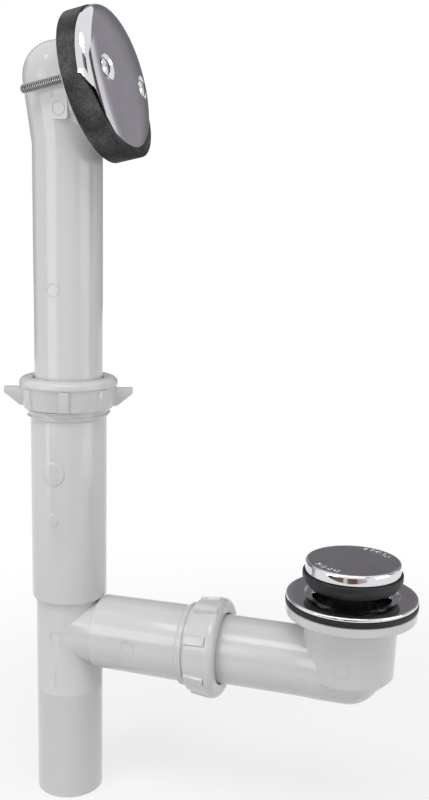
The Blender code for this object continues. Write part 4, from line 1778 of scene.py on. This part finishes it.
@dataclass
class Stopper:
    """The push stopper: cap, seal, washer, barrel and pin."""

    cap_top: float = 0.0213
    cap_r: float = 0.0255
    cap_side: float = 0.0063
    cap_round: float = 0.0017
    cap_crown: float = 0.0006
    cap_wall: float = 0.0012
    boss_r: float = 0.0060
    stud_r: float = 0.0030
    stud_length: float = 0.0095
    seal_r: float = 0.0267
    seal_band: float = 0.0034
    seal_web: float = 0.0036
    lip_r: float = 0.0240
    lip_drop: float = 0.0041
    lip_wall: float = 0.0030
    washer_r: float = 0.0185
    washer_height: float = 0.0015
    sleeve_r: float = 0.0106
    sleeve_wall: float = 0.0024
    sleeve_roof: float = 0.0024
    sleeve_length: float = 0.0152
    word_r: float = 0.0205
    word_depth: float = 0.00030
    open_at: float = math.radians(-122)
    close_at: float = math.radians(58)
    letter_size: float = 0.0034 * 1.35
    letter_round: float = 0.00017
    letter_turn: float = math.radians(11.5)
    cutter_share: float = 2.4
    cutter_lift: float = 1.4

    @property
    def rim(self) -> float:
        """Return the height of the cap's rim."""
        return self.cap_top - self.cap_side

    @property
    def sleeve_top(self) -> float:
        """Return the height of the barrel's top."""
        web_low = self.rim - PIPE.gap - self.seal_web
        return web_low - PIPE.gap - self.washer_height - PIPE.gap

    def _word(self, word: str, middle: float, inward: bool) -> list[Piece]:
        """Model the cutters for a word stamped along the cap's edge.

        Args:
            word: The word.
            middle: Angle of its middle about the cap.
            inward: Whether the letters' tops point at the centre.

        Returns:
            One cutter for each letter.
        """
        cutters = []
        side = 1.0 if inward else -1.0
        for index, letter in enumerate(word):
            offset = index - (len(word) - 1) / 2
            angle = middle + side * offset * self.letter_turn
            curve = bpy.data.curves.new("letter", "FONT")
            curve.body = letter
            curve.size = self.letter_size
            curve.align_x = "CENTER"
            curve.align_y = "CENTER"
            curve.resolution_u = 3
            curve.bevel_depth = self.letter_round
            curve.bevel_resolution = 2
            curve.extrude = (self.word_depth * self.cutter_share
                             - self.letter_round)
            text = Forms.bake_text(Forms.link("letter", curve))
            turn = angle + (math.pi / 2 if inward else -math.pi / 2)
            slope = self.cap_crown / self.cap_r
            height = self.cap_top - slope * self.word_r
            Forms.place(text, (self.word_r * math.cos(angle),
                               self.word_r * math.sin(angle),
                               height + self.word_depth
                               * self.cutter_lift),
                        (0.0, 0.0, turn))
            cutters.append(text)
        return cutters

    def _cap(self) -> Piece:
        """Model the hollow cap with its stamped words.

        Returns:
            The cap.
        """
        inner = self.cap_r - self.cap_wall
        ceiling = self.cap_top - self.cap_wall - self.cap_crown
        socket_r = self.stud_r + PIPE.gap
        socket_top = self.sleeve_top + self.stud_length + PIPE.gap
        shoulder = self.cap_top - self.cap_crown
        cap = Forms.turned("push_cap", [
            (0.0, socket_top), (socket_r, socket_top), (socket_r, self.rim),
            (self.boss_r, self.rim, CRISP), (self.boss_r, ceiling, FIRM),
            (inner, ceiling, SOFT), (inner, self.rim),
            (self.cap_r, self.rim, FIRM),
            (self.cap_r, shoulder, self.cap_round), (0.0, self.cap_top)])
        words = self._word("OPEN", self.open_at, False)
        words += self._word("CLOSE", self.close_at, True)
        return Forms.combine(cap, Join.CUT, *words)

    def _seal(self) -> Piece:
        """Model the seal's band, web and lip.

        Returns:
            The seal.
        """
        top = self.rim - PIPE.gap
        under = top - self.seal_web
        band = top - self.seal_band
        lip = band - self.lip_drop
        hole = self.stud_r + PIPE.gap
        return Forms.turned("rubber_seal", [
            (hole, under), (hole, top), (self.seal_r, top, FULL),
            (self.seal_r, band, SOFT), (self.lip_r, lip, FIRM),
            (self.lip_r - self.lip_wall / 2, lip, EASED),
            (self.lip_r - self.lip_wall, under, SOFT)])

    def _sleeve(self) -> Piece:
        """Model the barrel with its stud.

        Returns:
            The barrel.
        """
        top = self.sleeve_top
        bore = self.sleeve_r - self.sleeve_wall
        ceiling = top - self.sleeve_roof
        end = top - self.sleeve_length
        stud = top + self.stud_length
        return Forms.turned("push_barrel", [
            (0.0, ceiling), (bore, ceiling), (bore, end, FIRM),
            (self.sleeve_r, end, EASED), (self.sleeve_r, top, EASED),
            (self.stud_r, top), (self.stud_r, stud, FIRM), (0.0, stud)],
            MEDIUM)

    def build(self, bench: Workbench) -> None:
        """Model and finish the stopper.

        Args:
            bench: Where the pieces are finished.
        """
        bench.fit(self._cap(), Slot.CHROME, Body.STOPPER, "stopper_cap")
        bench.fit(self._seal(), Slot.RUBBER, Body.STOPPER, "stopper_seal")
        bench.fit(self._sleeve(), Slot.BLACK, Body.STOPPER,
                  "stopper_sleeve")
        low = self.sleeve_top + PIPE.gap
        high = low + self.washer_height
        hole = self.stud_r + PIPE.gap
        washer = Forms.turned("clamp_washer", [
            (hole, low), (self.washer_r, low, CRISP),
            (self.washer_r, high, CRISP), (hole, high)])
        bench.fit(washer, Slot.STEEL, Body.STOPPER, "seal_washer")
        bench.keep("latch_pin", Slot.STEEL)


@dataclass
class OverflowHead:
    """The overflow elbow, foam gasket, chromed plate and screws."""

    end_rise: float = 0.060
    end_round: float = 0.0005
    end_step: float = 0.0001
    neck_rise: float = 0.2760
    dome_rise: float = 0.3100
    dome_back: float = 0.0052
    head_rise: float = 0.3040
    head_forward: float = 0.0158
    flange_lean: float = math.radians(15.5)
    plate_lean: float = math.radians(12.0)
    flange_r: float = 0.0362
    flange: float = 0.0018
    window_r: float = 0.01855
    window_top: float = 0.0114
    window_bottom: float = 0.0060
    window_reach: float = 0.0180
    gasket_r: float = 0.0403
    gasket_forward: float = 0.0092
    gasket_bulge: float = 0.0083
    bulge_power: float = 0.5
    foam_fillet: float = 0.0006
    plate_r: float = 0.0397
    plate_depth: float = 0.0102
    plate_skirt: float = 0.0022
    crown_power: float = 2.45
    edge_power: float = 0.38
    plate_wall: float = 0.0010
    plate_fillet: float = 0.00025
    notch_lip: float = 0.0041
    notch_slope: float = math.radians(1)
    notch_start: float = 0.0012
    notch_edge: float = 0.0003
    notch_ramp: float = 0.0090
    notch_round: float = 0.006
    screw_spread: float = 0.0238
    screw_lift: float = 0.0010
    screw_line: float = math.radians(5)
    screw_r: float = 0.0024
    screw_pitch: float = 0.00106
    root_share: float = 0.66
    screw_tail: float = 0.0395
    neck_drop: float = 0.001
    neck_inset: float = 0.0003
    thread_end: float = 0.0004
    screw_head_r: float = 0.0044
    screw_head: float = 0.0020
    rim_share: float = 0.3
    foot_round: float = 0.0002
    crown_share: float = 0.55
    crown_round: float = 0.0030
    slot: float = 0.0011
    dimple_r: float = 0.0080
    dimple_floor_r: float = 0.0050
    dimple_depth: float = 0.0014
    dimple_floor_round: float = 0.0010
    dimple_flare: float = 0.0006
    dimple_stand: float = 0.0008
    neck_mark_z: float = 0.1579
    neck_mark_r: float = 0.0035
    pad_centre: Point = (-0.1609, 0.2520)
    pad_half: Point = (0.0050, 0.0056)
    pad_round: float = 0.002
    pad_face: float = -0.0193
    flat_r: float = 4.0

    @property
    def head_centre(self) -> Vector:
        """Return the centre of the elbow flange's face."""
        return Vector((PIPE.tee_x + self.head_forward, 0.0,
                       PIPE.arm_z + self.head_rise))

    @property
    def plate_centre(self) -> Vector:
        """Return the centre of the plate's rear plane."""
        return (self.head_centre
                + Forms.lean_axis(self.plate_lean) * self.gasket_forward)

    def _lean(self, obj: Piece) -> Piece:
        """Move a piece from the plate's own frame to its place."""
        return Forms.place(obj, self.plate_centre,
                           Forms.facing(self.plate_lean))

    @property
    def dimple_floor(self) -> float:
        """Return the height of the dimples' floor."""
        share = 1.0 - (self.screw_spread / self.plate_r) ** self.crown_power
        rise = self.plate_depth - self.plate_skirt
        return (self.plate_skirt + rise * share ** self.edge_power
                - self.dimple_depth)

    def _screw_places(self) -> list[Vector]:
        """Find where the screws cross the plate's rear plane.

        Returns:
            The two points, the near one first.
        """
        across = Vector((0.0, math.cos(self.screw_line), 0.0))
        up = Forms.lean_axis(self.plate_lean + math.pi / 2)
        points = []
        for side in (-1.0, 1.0):
            drop = up * (-side * math.sin(self.screw_line)
                         * self.screw_spread)
            points.append(self.plate_centre + up * self.screw_lift + drop
                          + across * (side * self.screw_spread))
        return points

    def _screw_holes(self) -> list[Piece]:
        """Model cutters for both screws through the head.

        Returns:
            The cutters.
        """
        radius = self.screw_r + PIPE.gap
        high = self.plate_depth + CUT
        cutters = []
        for point in self._screw_places():
            tool = Forms.turned("screw_hole", [
                (0.0, -self.screw_tail), (radius, -self.screw_tail),
                (radius, high), (0.0, high)], COARSE)
            cutters.append(Forms.place(tool, point,
                                       Forms.facing(self.plate_lean)))
        return cutters

    def _neck(self, name: str, inset: float, start: float) -> Piece:
        """Model the slip tube, bent neck and domed top.

        Args:
            name: Name of the new object.
            inset: How far inside the outer wall.
            start: Height of the lower end over the arm.

        Returns:
            The solid.
        """
        radius = PIPE.tube_r - inset
        lean = math.atan2(self.dome_back, self.dome_rise - self.neck_rise)
        tilt = Matrix.Rotation(-lean, 3, "Y")
        half = Matrix.Rotation(-lean / 2, 3, "Y")
        circle = [Vector((math.cos(math.tau * index / FINE),
                          math.sin(math.tau * index / FINE), 0.0))
                  for index in range(FINE)]
        dome = Vector((-self.dome_back, 0.0, self.dome_rise))
        neck = Vector((0.0, 0.0, self.neck_rise))
        round_off = 0.0 if inset else self.end_round
        rings = [[point * (radius - round_off) + Vector((0.0, 0.0, start))
                  for point in circle],
                 [point * radius + Vector((0.0, 0.0, start + round_off
                                           + self.end_step))
                  for point in circle],
                 [half @ (point * radius) + neck for point in circle]]
        steps = 20
        for index in range(steps):
            angle = math.pi / 2 * index / steps
            lift = Vector((0.0, 0.0, radius * math.sin(angle)))
            rings.append([tilt @ (point * radius * math.cos(angle) + lift)
                          + dome for point in circle])
        solid = Forms.lofted(name, rings)
        return Forms.place(solid, (PIPE.tee_x, 0.0, PIPE.arm_z))

    def _slot(self, radius: float) -> Outline:
        """Return an upright slot outline; -X is up in the leaned frame.

        Args:
            radius: Radius of its round ends.

        Returns:
            The outline.
        """
        points: Outline = []
        for start, shift in ((math.pi / 2, -self.window_top),
                             (-math.pi / 2, self.window_bottom)):
            for index in range(MEDIUM + 1):
                angle = start + math.pi * index / MEDIUM
                points.append((radius * math.cos(angle) + shift,
                               radius * math.sin(angle)))
        return points

    def _elbow(self) -> Piece:
        """Model the slip tube, elbow and flange as one.

        Returns:
            The piece.
        """
        shell = self._neck("elbow_shell", 0.0, self.end_rise)
        way = self._neck("way", PIPE.wall, self.end_rise - CUT)
        turn = Forms.facing(self.flange_lean)
        back = (self.head_centre
                - Forms.lean_axis(self.flange_lean) * self.window_reach)
        outer = Forms.prism("window", self._slot(self.window_r),
                            self.window_reach - self.flange / 2)
        inner = Forms.prism("window_way",
                            self._slot(self.window_r - PIPE.wall),
                            self.window_reach + CUT)
        disc = Forms.turned("head_flange", [
            (0.0, -self.flange), (self.flange_r, -self.flange),
            (self.flange_r, 0.0), (0.0, 0.0)])
        Forms.place(outer, back, turn)
        Forms.place(inner, back, turn)
        Forms.place(disc, self.head_centre, turn)
        Forms.combine(shell, Join.ADD, outer, disc, self._pad())
        Forms.combine(shell, Join.CUT, way, inner, *self._screw_holes())
        Forms.soften(shell, EASED)
        tube = TubeMark(PIPE.tee_x, 0.0, PIPE.tube_r, Facing.UPRIGHT)
        flat = TubeMark(self.pad_centre[0], 0.0, self.flat_r,
                        Facing.UPRIGHT)
        ring = flat.ring("pad_mark", self.pad_centre[1],
                         self.neck_mark_r)
        Forms.place(ring, (0.0, self.flat_r + self.pad_face, 0.0))
        marks = [tube.ring("neck_mark", self.neck_mark_z,
                           self.neck_mark_r), ring]
        return Forms.gather(shell, marks)

    def _pad(self) -> Piece:
        """Model the flat pad on the elbow's side.

        Returns:
            The pad.
        """
        wide, high = self.pad_half
        ease = self.pad_round
        outline = [(-wide, -high), (wide, -high, ease), (wide, high, ease),
                   (-wide, high, ease), (-wide, -high, ease), (wide, -high)]
        points = Forms.eased(outline, steps=6)[1:-1]
        near = [(self.pad_centre[0] + x, self.pad_face,
                 self.pad_centre[1] + z) for x, z in points]
        far = [(x, self.pad_face / 2, z) for x, _, z in near]
        return Forms.lofted("pad", [near, far])

    def _gasket(self) -> Piece:
        """Model the foam wedge that bulges under the plate's notch.

        Returns:
            The gasket.
        """
        wedge = math.tan(self.flange_lean - self.plate_lean)
        reach = self.gasket_r + CUT
        rear = PIPE.gap - self.gasket_forward
        outline = [(reach, rear + wedge * reach),
                   (-reach, rear - wedge * reach), (-reach, -PIPE.gap),
                   (0.0, -PIPE.gap)]
        steps = 20
        for index in range(1, steps + 1):
            share = index / steps
            outline.append((reach * share, self.gasket_bulge
                            * min(1.0, share * reach / self.gasket_r)
                            ** self.bulge_power - PIPE.gap))
        foam = Forms.slab("foam_gasket", outline, reach)
        self._lean(foam)
        span = self.gasket_forward + self.plate_depth
        disc = Forms.turned("disc", [
            (0.0, -2 * span), (self.gasket_r, -2 * span),
            (self.gasket_r, span), (0.0, span)])
        Forms.combine(foam, Join.SHARE, self._lean(disc))
        hole = Forms.prism("hole", self._slot(self.window_r - PIPE.wall),
                           3 * span)
        Forms.place(hole, self.head_centre
                    - Forms.lean_axis(self.flange_lean) * span,
                    Forms.facing(self.flange_lean))
        Forms.combine(foam, Join.CUT, hole, self._pocket(),
                      *self._screw_holes())
        return Forms.soften(foam, self.foam_fillet)

    def _dish(self, inset: float) -> Outline:
        """Return the plate's outer shape, or its inner one with an inset.

        Args:
            inset: How far inside the outer face.

        Returns:
            The outline.
        """
        radius = self.plate_r - inset
        rise = self.plate_depth - inset - self.plate_skirt
        low = -CUT if inset > 0.0 else 0.0
        outline = [(0.0, low), (radius, low)]
        steps = 28
        for index in range(steps):
            share = math.sin(math.pi / 2 * index / steps)
            run = 1.0 - share ** (1.0 / self.edge_power)
            outline.append((radius * run ** (1.0 / self.crown_power),
                            self.plate_skirt + rise * share))
        outline.append((0.0, self.plate_skirt + rise))
        return outline

    def _lip(self, down: float) -> float:
        """Return the height of the shortened rim, so far down."""
        return (self.plate_depth - self.notch_lip
                + math.tan(self.notch_slope) * down)

    def _pocket(self) -> Piece:
        """Model the cutter that clears the foam around the plate's rim.

        Returns:
            The cutter.
        """
        reach = self.gasket_r + CUT
        top = self.plate_depth + CUT
        above = Forms.slab("above", [
            (self.notch_ramp, self._lip(self.notch_ramp) - PIPE.gap),
            (reach, self._lip(reach) - PIPE.gap), (reach, top),
            (self.notch_ramp, top)], reach)
        dome = Forms.turned("pocket", self._dish(-PIPE.gap))
        return Forms.combine(self._lean(dome), Join.SHARE, self._lean(above))

    def _dimples(self, inset: float) -> list[Piece]:
        """Return cutters for the screw dimples.

        Args:
            inset: The plate's wall, for the inner face.

        Returns:
            The cutters.
        """
        floor = self.dimple_floor - inset
        high = self.plate_depth + self.dimple_stand
        tools = []
        for point in self._screw_places():
            wide = self.dimple_r + inset / 2
            tool = Forms.turned("dimple", [
                (0.0, floor), (self.dimple_floor_r + inset / 2, floor,
                               self.dimple_floor_round),
                (wide, self.plate_depth, self.dimple_flare),
                (wide + self.dimple_flare, high), (0.0, high)], MEDIUM)
            tools.append(Forms.place(tool, point,
                                     Forms.facing(self.plate_lean)))
        return tools

    def _plate(self) -> Piece:
        """Model the dished plate with notch and dimples.

        Returns:
            The plate.
        """
        plate = self._lean(Forms.turned("faceplate", self._dish(0.0)))
        hollow = self._lean(Forms.turned("hollow",
                                         self._dish(self.plate_wall)))
        Forms.combine(plate, Join.CUT, *self._dimples(0.0))
        Forms.combine(hollow, Join.CUT, *self._dimples(self.plate_wall))
        reach = self.plate_r + CUT
        notch = Forms.slab("notch", Forms.eased([
            (self.notch_edge, -CUT), (reach, -CUT),
            (reach, self._lip(reach)),
            (self.notch_ramp, self._lip(self.notch_ramp),
             self.notch_round),
            (self.notch_edge, self.notch_start)], steps=6), reach)
        Forms.combine(plate, Join.CUT, hollow, self._lean(notch),
                      *self._screw_holes())
        return Forms.soften(plate, self.plate_fillet)

    def _screw(self, name: str, point: Vector) -> Piece:
        """Model a long oval-head screw with its thread and slot.

        Args:
            name: Name of the new object.
            point: Where it crosses the plate's rear plane.

        Returns:
            The screw.
        """
        seat = self.dimple_floor + PIPE.gap
        crown = seat + self.screw_head
        head_r = self.screw_head_r
        neck_r = self.screw_r - self.neck_inset
        foot = seat - self.neck_drop
        head = Forms.turned(name, [
            (0.0, foot), (neck_r, foot), (neck_r, seat),
            (head_r, seat, self.foot_round),
            (head_r, seat + self.screw_head * self.rim_share, EASED),
            (head_r * self.crown_share, crown, self.crown_round),
            (0.0, crown + self.screw_head / 6)], MEDIUM)
        half = self.slot / 2
        wide = head_r + CUT
        cut = Forms.prism("slot", [(-wide, -half), (wide, -half),
                                   (wide, half), (-wide, half)],
                          self.screw_head)
        Forms.place(cut, (0.0, 0.0, crown - self.slot))
        Forms.combine(head, Join.CUT, cut)
        root = self.screw_r * self.root_share
        run = Thread(-self.screw_tail, seat - self.thread_end, root,
                     self.screw_r, self.screw_pitch)
        outline: Outline = [(0.0, run.low)]
        outline += [(root, height) for height in run.heights()]
        outline.append((0.0, run.high))
        shank = Forms.turned("shank", outline, COARSE, run)
        screw = Forms.gather(head, [shank])
        return Forms.place(screw, point, Forms.facing(self.plate_lean))

    def build(self, bench: Workbench) -> None:
        """Model and finish the head's pieces.

        Args:
            bench: Where the pieces are finished.
        """
        bench.fit(self._elbow(), Slot.WHITE, Body.OVERFLOW,
                  "overflow_elbow")
        bench.fit(self._gasket(), Slot.FOAM, Body.OVERFLOW,
                  "overflow_gasket")
        bench.fit(self._plate(), Slot.CHROME, Body.OVERFLOW,
                  "overflow_plate")
        axis = Forms.lean_axis(self.plate_lean)
        for side, point in zip(("near", "far"), self._screw_places()):
            screw = bench.fit(self._screw(f"{side}_screw", point),
                              Slot.STEEL, Body.OVERFLOW,
                              f"plate_screw_{side}")
            seat = point + axis * (self.dimple_floor - PIPE.gap)
            # Each screw's steel carries painted shade in its thread roots.
            steel = ScrewSteelWithPaintedShade(f"{side}_screw_steel_painted_shade", tuple(seat),
                               tuple(axis), self.screw_r * self.root_share,
                               self.screw_r)
            screw.data.materials[0] = steel.material()


class Tone(Enum):
    """Colours of the surroundings that the bright parts mirror."""

    GREY = (0.33, 0.315, 0.345)
    DARK = (0.19, 0.183, 0.195)
    BROWN = (0.17, 0.10, 0.065)
    SLATE = (0.12, 0.12, 0.13)
    STONE = (0.22, 0.22, 0.23)
    COAL = (0.10, 0.10, 0.11)
    SILVER = (0.42, 0.41, 0.44)
    PEARL = (0.82, 0.81, 0.84)
    CHALK = (0.90, 0.90, 0.91)
    TEAL = (0.04, 0.12, 0.12)
    DEEP_TEAL = (0.03, 0.10, 0.10)
    LIGHT_TEAL = (0.05, 0.14, 0.14)
    MOSS = (0.12, 0.15, 0.14)
    EARTH = (0.14, 0.11, 0.09)
    TAUPE = (0.24, 0.20, 0.17)
    SAND = (0.42, 0.39, 0.37)
    CREAM = (0.62, 0.58, 0.54)
    TAN = (0.45, 0.38, 0.32)
    IVORY = (0.70, 0.68, 0.66)
    LINEN = (0.66, 0.62, 0.60)
    RUST = (0.22, 0.12, 0.075)
    SOOT = (0.04, 0.04, 0.04)


@dataclass(frozen=True)
class Lamp:
    """A soft lamp of so many watts that looks at the object."""

    name: str
    at: Point
    size: Point
    power: float

    def build(self, target: Vector) -> None:
        """Add the lamp.

        Args:
            target: What it looks at.
        """
        light = bpy.data.lights.new(self.name, "AREA")
        light.shape = "RECTANGLE"
        light.size, light.size_y = self.size
        light.energy = self.power
        Forms.aim(Forms.link(self.name, light), self.at, target, "-Z")


@dataclass(frozen=True)
class Card:
    """A card that only reflections see, in bands along its width."""

    name: str
    at: Point
    size: Point
    bands: tuple[tuple[float, Tone], ...]

    def build(self, target: Vector) -> None:
        """Add the card.

        Args:
            target: What it faces.
        """
        wide, high = self.size[0] / 2, self.size[1] / 2
        card = Forms.sheet(self.name, wide, high, 0.0)
        Forms.aim(card, self.at, target, "Z")
        graph = Graph(self.name)
        along = graph.nodes.new("ShaderNodeSeparateXYZ")
        graph.links.new(graph.where, along.inputs["Vector"])
        share = graph.span(along.outputs["X"], 0.0, 1.0, -wide, wide)
        stops = [(place, tone.value) for place, tone in self.bands]
        glow = graph.nodes.new("ShaderNodeEmission")
        graph.links.new(graph.blend(share, stops), glow.inputs["Color"])
        graph.show(glow)
        card.data.materials.append(graph.material)
        card.visible_camera = False
        card.visible_diffuse = False
        card.visible_shadow = False
        card.visible_transmission = False


LAMPS = (
    Lamp("left_lamp", (-0.487, -0.595, 0.135), (0.40, 0.54), 1.55),
    Lamp("right_lamp", (0.726, -0.128, 0.135), (0.50, 0.54), 1.60),
    Lamp("top_lamp", (0.0, -1.05, 2.05), (2.0, 0.8), 20.0),
)
CARDS = (
    Card("back_card", (0.0, 1.7, 0.85), (4.8, 1.9),
         ((0.34, Tone.GREY), (0.39, Tone.DARK), (0.50, Tone.DARK),
          (0.58, Tone.GREY))),
    Card("left_card", (-1.7, 0.75, 0.2), (1.0, 1.6),
         ((0.0, Tone.SLATE), (1.0, Tone.STONE))),
    Card("right_card", (1.35, 0.55, 0.75), (0.45, 1.1),
         ((0.0, Tone.BROWN), (0.6, Tone.COAL), (1.0, Tone.GREY))),
    Card("side_card", (1.35, 1.15, 0.35), (1.0, 2.2),
         ((0.0, Tone.GREY), (0.20, Tone.SILVER), (0.40, Tone.PEARL),
          (1.0, Tone.CHALK))),
    Card("green_card", (0.98, -0.34, 0.05), (0.24, 0.26),
         ((0.0, Tone.TEAL), (0.6, Tone.MOSS), (0.7, Tone.BROWN),
          (1.0, Tone.EARTH))),
    Card("shelf_card", (0.335, -0.82, 0.82), (1.05, 0.40),
         ((0.0, Tone.BROWN), (0.14, Tone.DEEP_TEAL),
          (0.42, Tone.LIGHT_TEAL), (0.47, Tone.TAUPE), (1.0, Tone.SAND))),
    Card("table_card", (-0.06, -0.40, -0.055), (0.78, 0.17),
         ((0.0, Tone.CREAM), (0.24, Tone.TAN), (0.26, Tone.BROWN),
          (0.44, Tone.BROWN), (0.46, Tone.IVORY), (0.52, Tone.LINEN),
          (0.54, Tone.RUST), (0.82, Tone.BROWN), (0.85, Tone.SOOT))),
)


@dataclass
class Studio:
    """Floor, cards, lamps, camera and world."""

    floor_z: float = -0.1392
    floor_half: float = 6.0
    floor_grey: float = 0.90
    floor_fill: float = 0.4
    fade_start: float = 0.20
    fade_end: float = 0.55
    fade_least: float = 0.70
    world_fill: float = 0.44
    target: Point = (-0.07, 0.0, 0.06)
    camera_at: Point = (0.07363, -0.49840, 0.19275)
    yaw: float = -0.297
    pitch: float = 0.174
    roll: float = 0.021
    lens: float = 44.185
    sensor: float = 36.0
    nearest: float = 0.01

    def _camera(self) -> None:
        """Set up the camera."""
        look = Vector((math.sin(self.yaw) * math.cos(self.pitch),
                       math.cos(self.yaw) * math.cos(self.pitch),
                       -math.sin(self.pitch)))
        right = Vector((math.cos(self.yaw), -math.sin(self.yaw), 0.0))
        up = right.cross(look)
        side = right * math.cos(self.roll) + up * math.sin(self.roll)
        top = up * math.cos(self.roll) - right * math.sin(self.roll)
        lens = bpy.data.cameras.new("camera")
        lens.lens = self.lens
        lens.sensor_width = self.sensor
        lens.sensor_fit = "AUTO"
        lens.clip_start = self.nearest
        camera = Forms.link("camera", lens)
        turn = Matrix((side, top, -look)).transposed().to_4x4()
        camera.matrix_world = Matrix.Translation(self.camera_at) @ turn
        bpy.context.scene.camera = camera

    def _floor(self) -> None:
        """Lay a pale floor that turns white with distance."""
        floor = Forms.sheet("floor", self.floor_half, self.floor_half,
                            self.floor_z)
        graph = Graph("floor_paper")
        matt = graph.nodes.new("ShaderNodeBsdfDiffuse")
        matt.inputs["Color"].default_value = (*[self.floor_grey] * 3, 1.0)
        glow = graph.nodes.new("ShaderNodeEmission")
        where = graph.nodes.new("ShaderNodeNewGeometry")
        reach = graph.vector("LENGTH", where.outputs["Position"])
        fade = graph.span(reach.outputs["Value"], self.fade_least, 1.0,
                          self.fade_start, self.fade_end)
        fade.node.interpolation_type = "SMOOTHSTEP"
        blend = graph.nodes.new("ShaderNodeMixShader")
        graph.links.new(self._seen(graph.nodes, graph.links,
                                   self.floor_fill), glow.inputs["Strength"])
        graph.links.new(fade, blend.inputs["Fac"])
        graph.links.new(matt.outputs[0], blend.inputs[1])
        graph.links.new(glow.outputs[0], blend.inputs[2])
        graph.show(blend)
        floor.data.materials.append(graph.material)

    @staticmethod
    def _seen(nodes: bpy.types.Nodes, links: bpy.types.NodeLinks,
              rest: float) -> Socket:
        """Add a strength of 1 to what is seen, and less to other light.

        Args:
            nodes: The tree's nodes.
            links: The tree's links.
            rest: Strength for diffuse light.

        Returns:
            The strength.
        """
        path = nodes.new("ShaderNodeLightPath")
        first = nodes.new("ShaderNodeMath")
        first.operation = "MAXIMUM"
        second = nodes.new("ShaderNodeMath")
        second.operation = "MAXIMUM"
        result = nodes.new("ShaderNodeMapRange")
        result.inputs["To Min"].default_value = rest
        result.inputs["To Max"].default_value = 1.0
        links.new(path.outputs["Is Camera Ray"], first.inputs[0])
        links.new(path.outputs["Is Glossy Ray"], first.inputs[1])
        links.new(first.outputs[0], second.inputs[0])
        links.new(path.outputs["Is Transmission Ray"], second.inputs[1])
        links.new(second.outputs[0], result.inputs["Value"])
        return result.outputs["Result"]

    def _world(self) -> None:
        """Set a white surround with soft fill light."""
        world = bpy.data.worlds.new("white_room")
        world.use_nodes = True
        nodes = world.node_tree.nodes
        links = world.node_tree.links
        back = nodes["Background"]
        back.inputs["Color"].default_value = (1.0, 1.0, 1.0, 1.0)
        links.new(self._seen(nodes, links, self.world_fill),
                  back.inputs["Strength"])
        bpy.context.scene.world = world

    def build(self) -> None:
        """Set up the whole studio."""
        bpy.context.scene.view_settings.view_transform = "Standard"
        self._camera()
        self._floor()
        self._world()
        for thing in LAMPS + CARDS:
            thing.build(Vector(self.target))


def main() -> None:
    """Build the studio and every piece in order."""
    logging.basicConfig(level=logging.INFO, format="%(message)s")
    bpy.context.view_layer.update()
    Studio().build()
    bench = Workbench()
    for part in (TeePiece(), SlipJoints(), BathShoe(), DrainFlange(),
                 Stopper(), OverflowHead()):
        LOG.info("building %s", type(part).__name__)
        part.build(bench)
    LOG.info("%d pieces finished", bench.count)


if __name__ == "__main__":
    main()
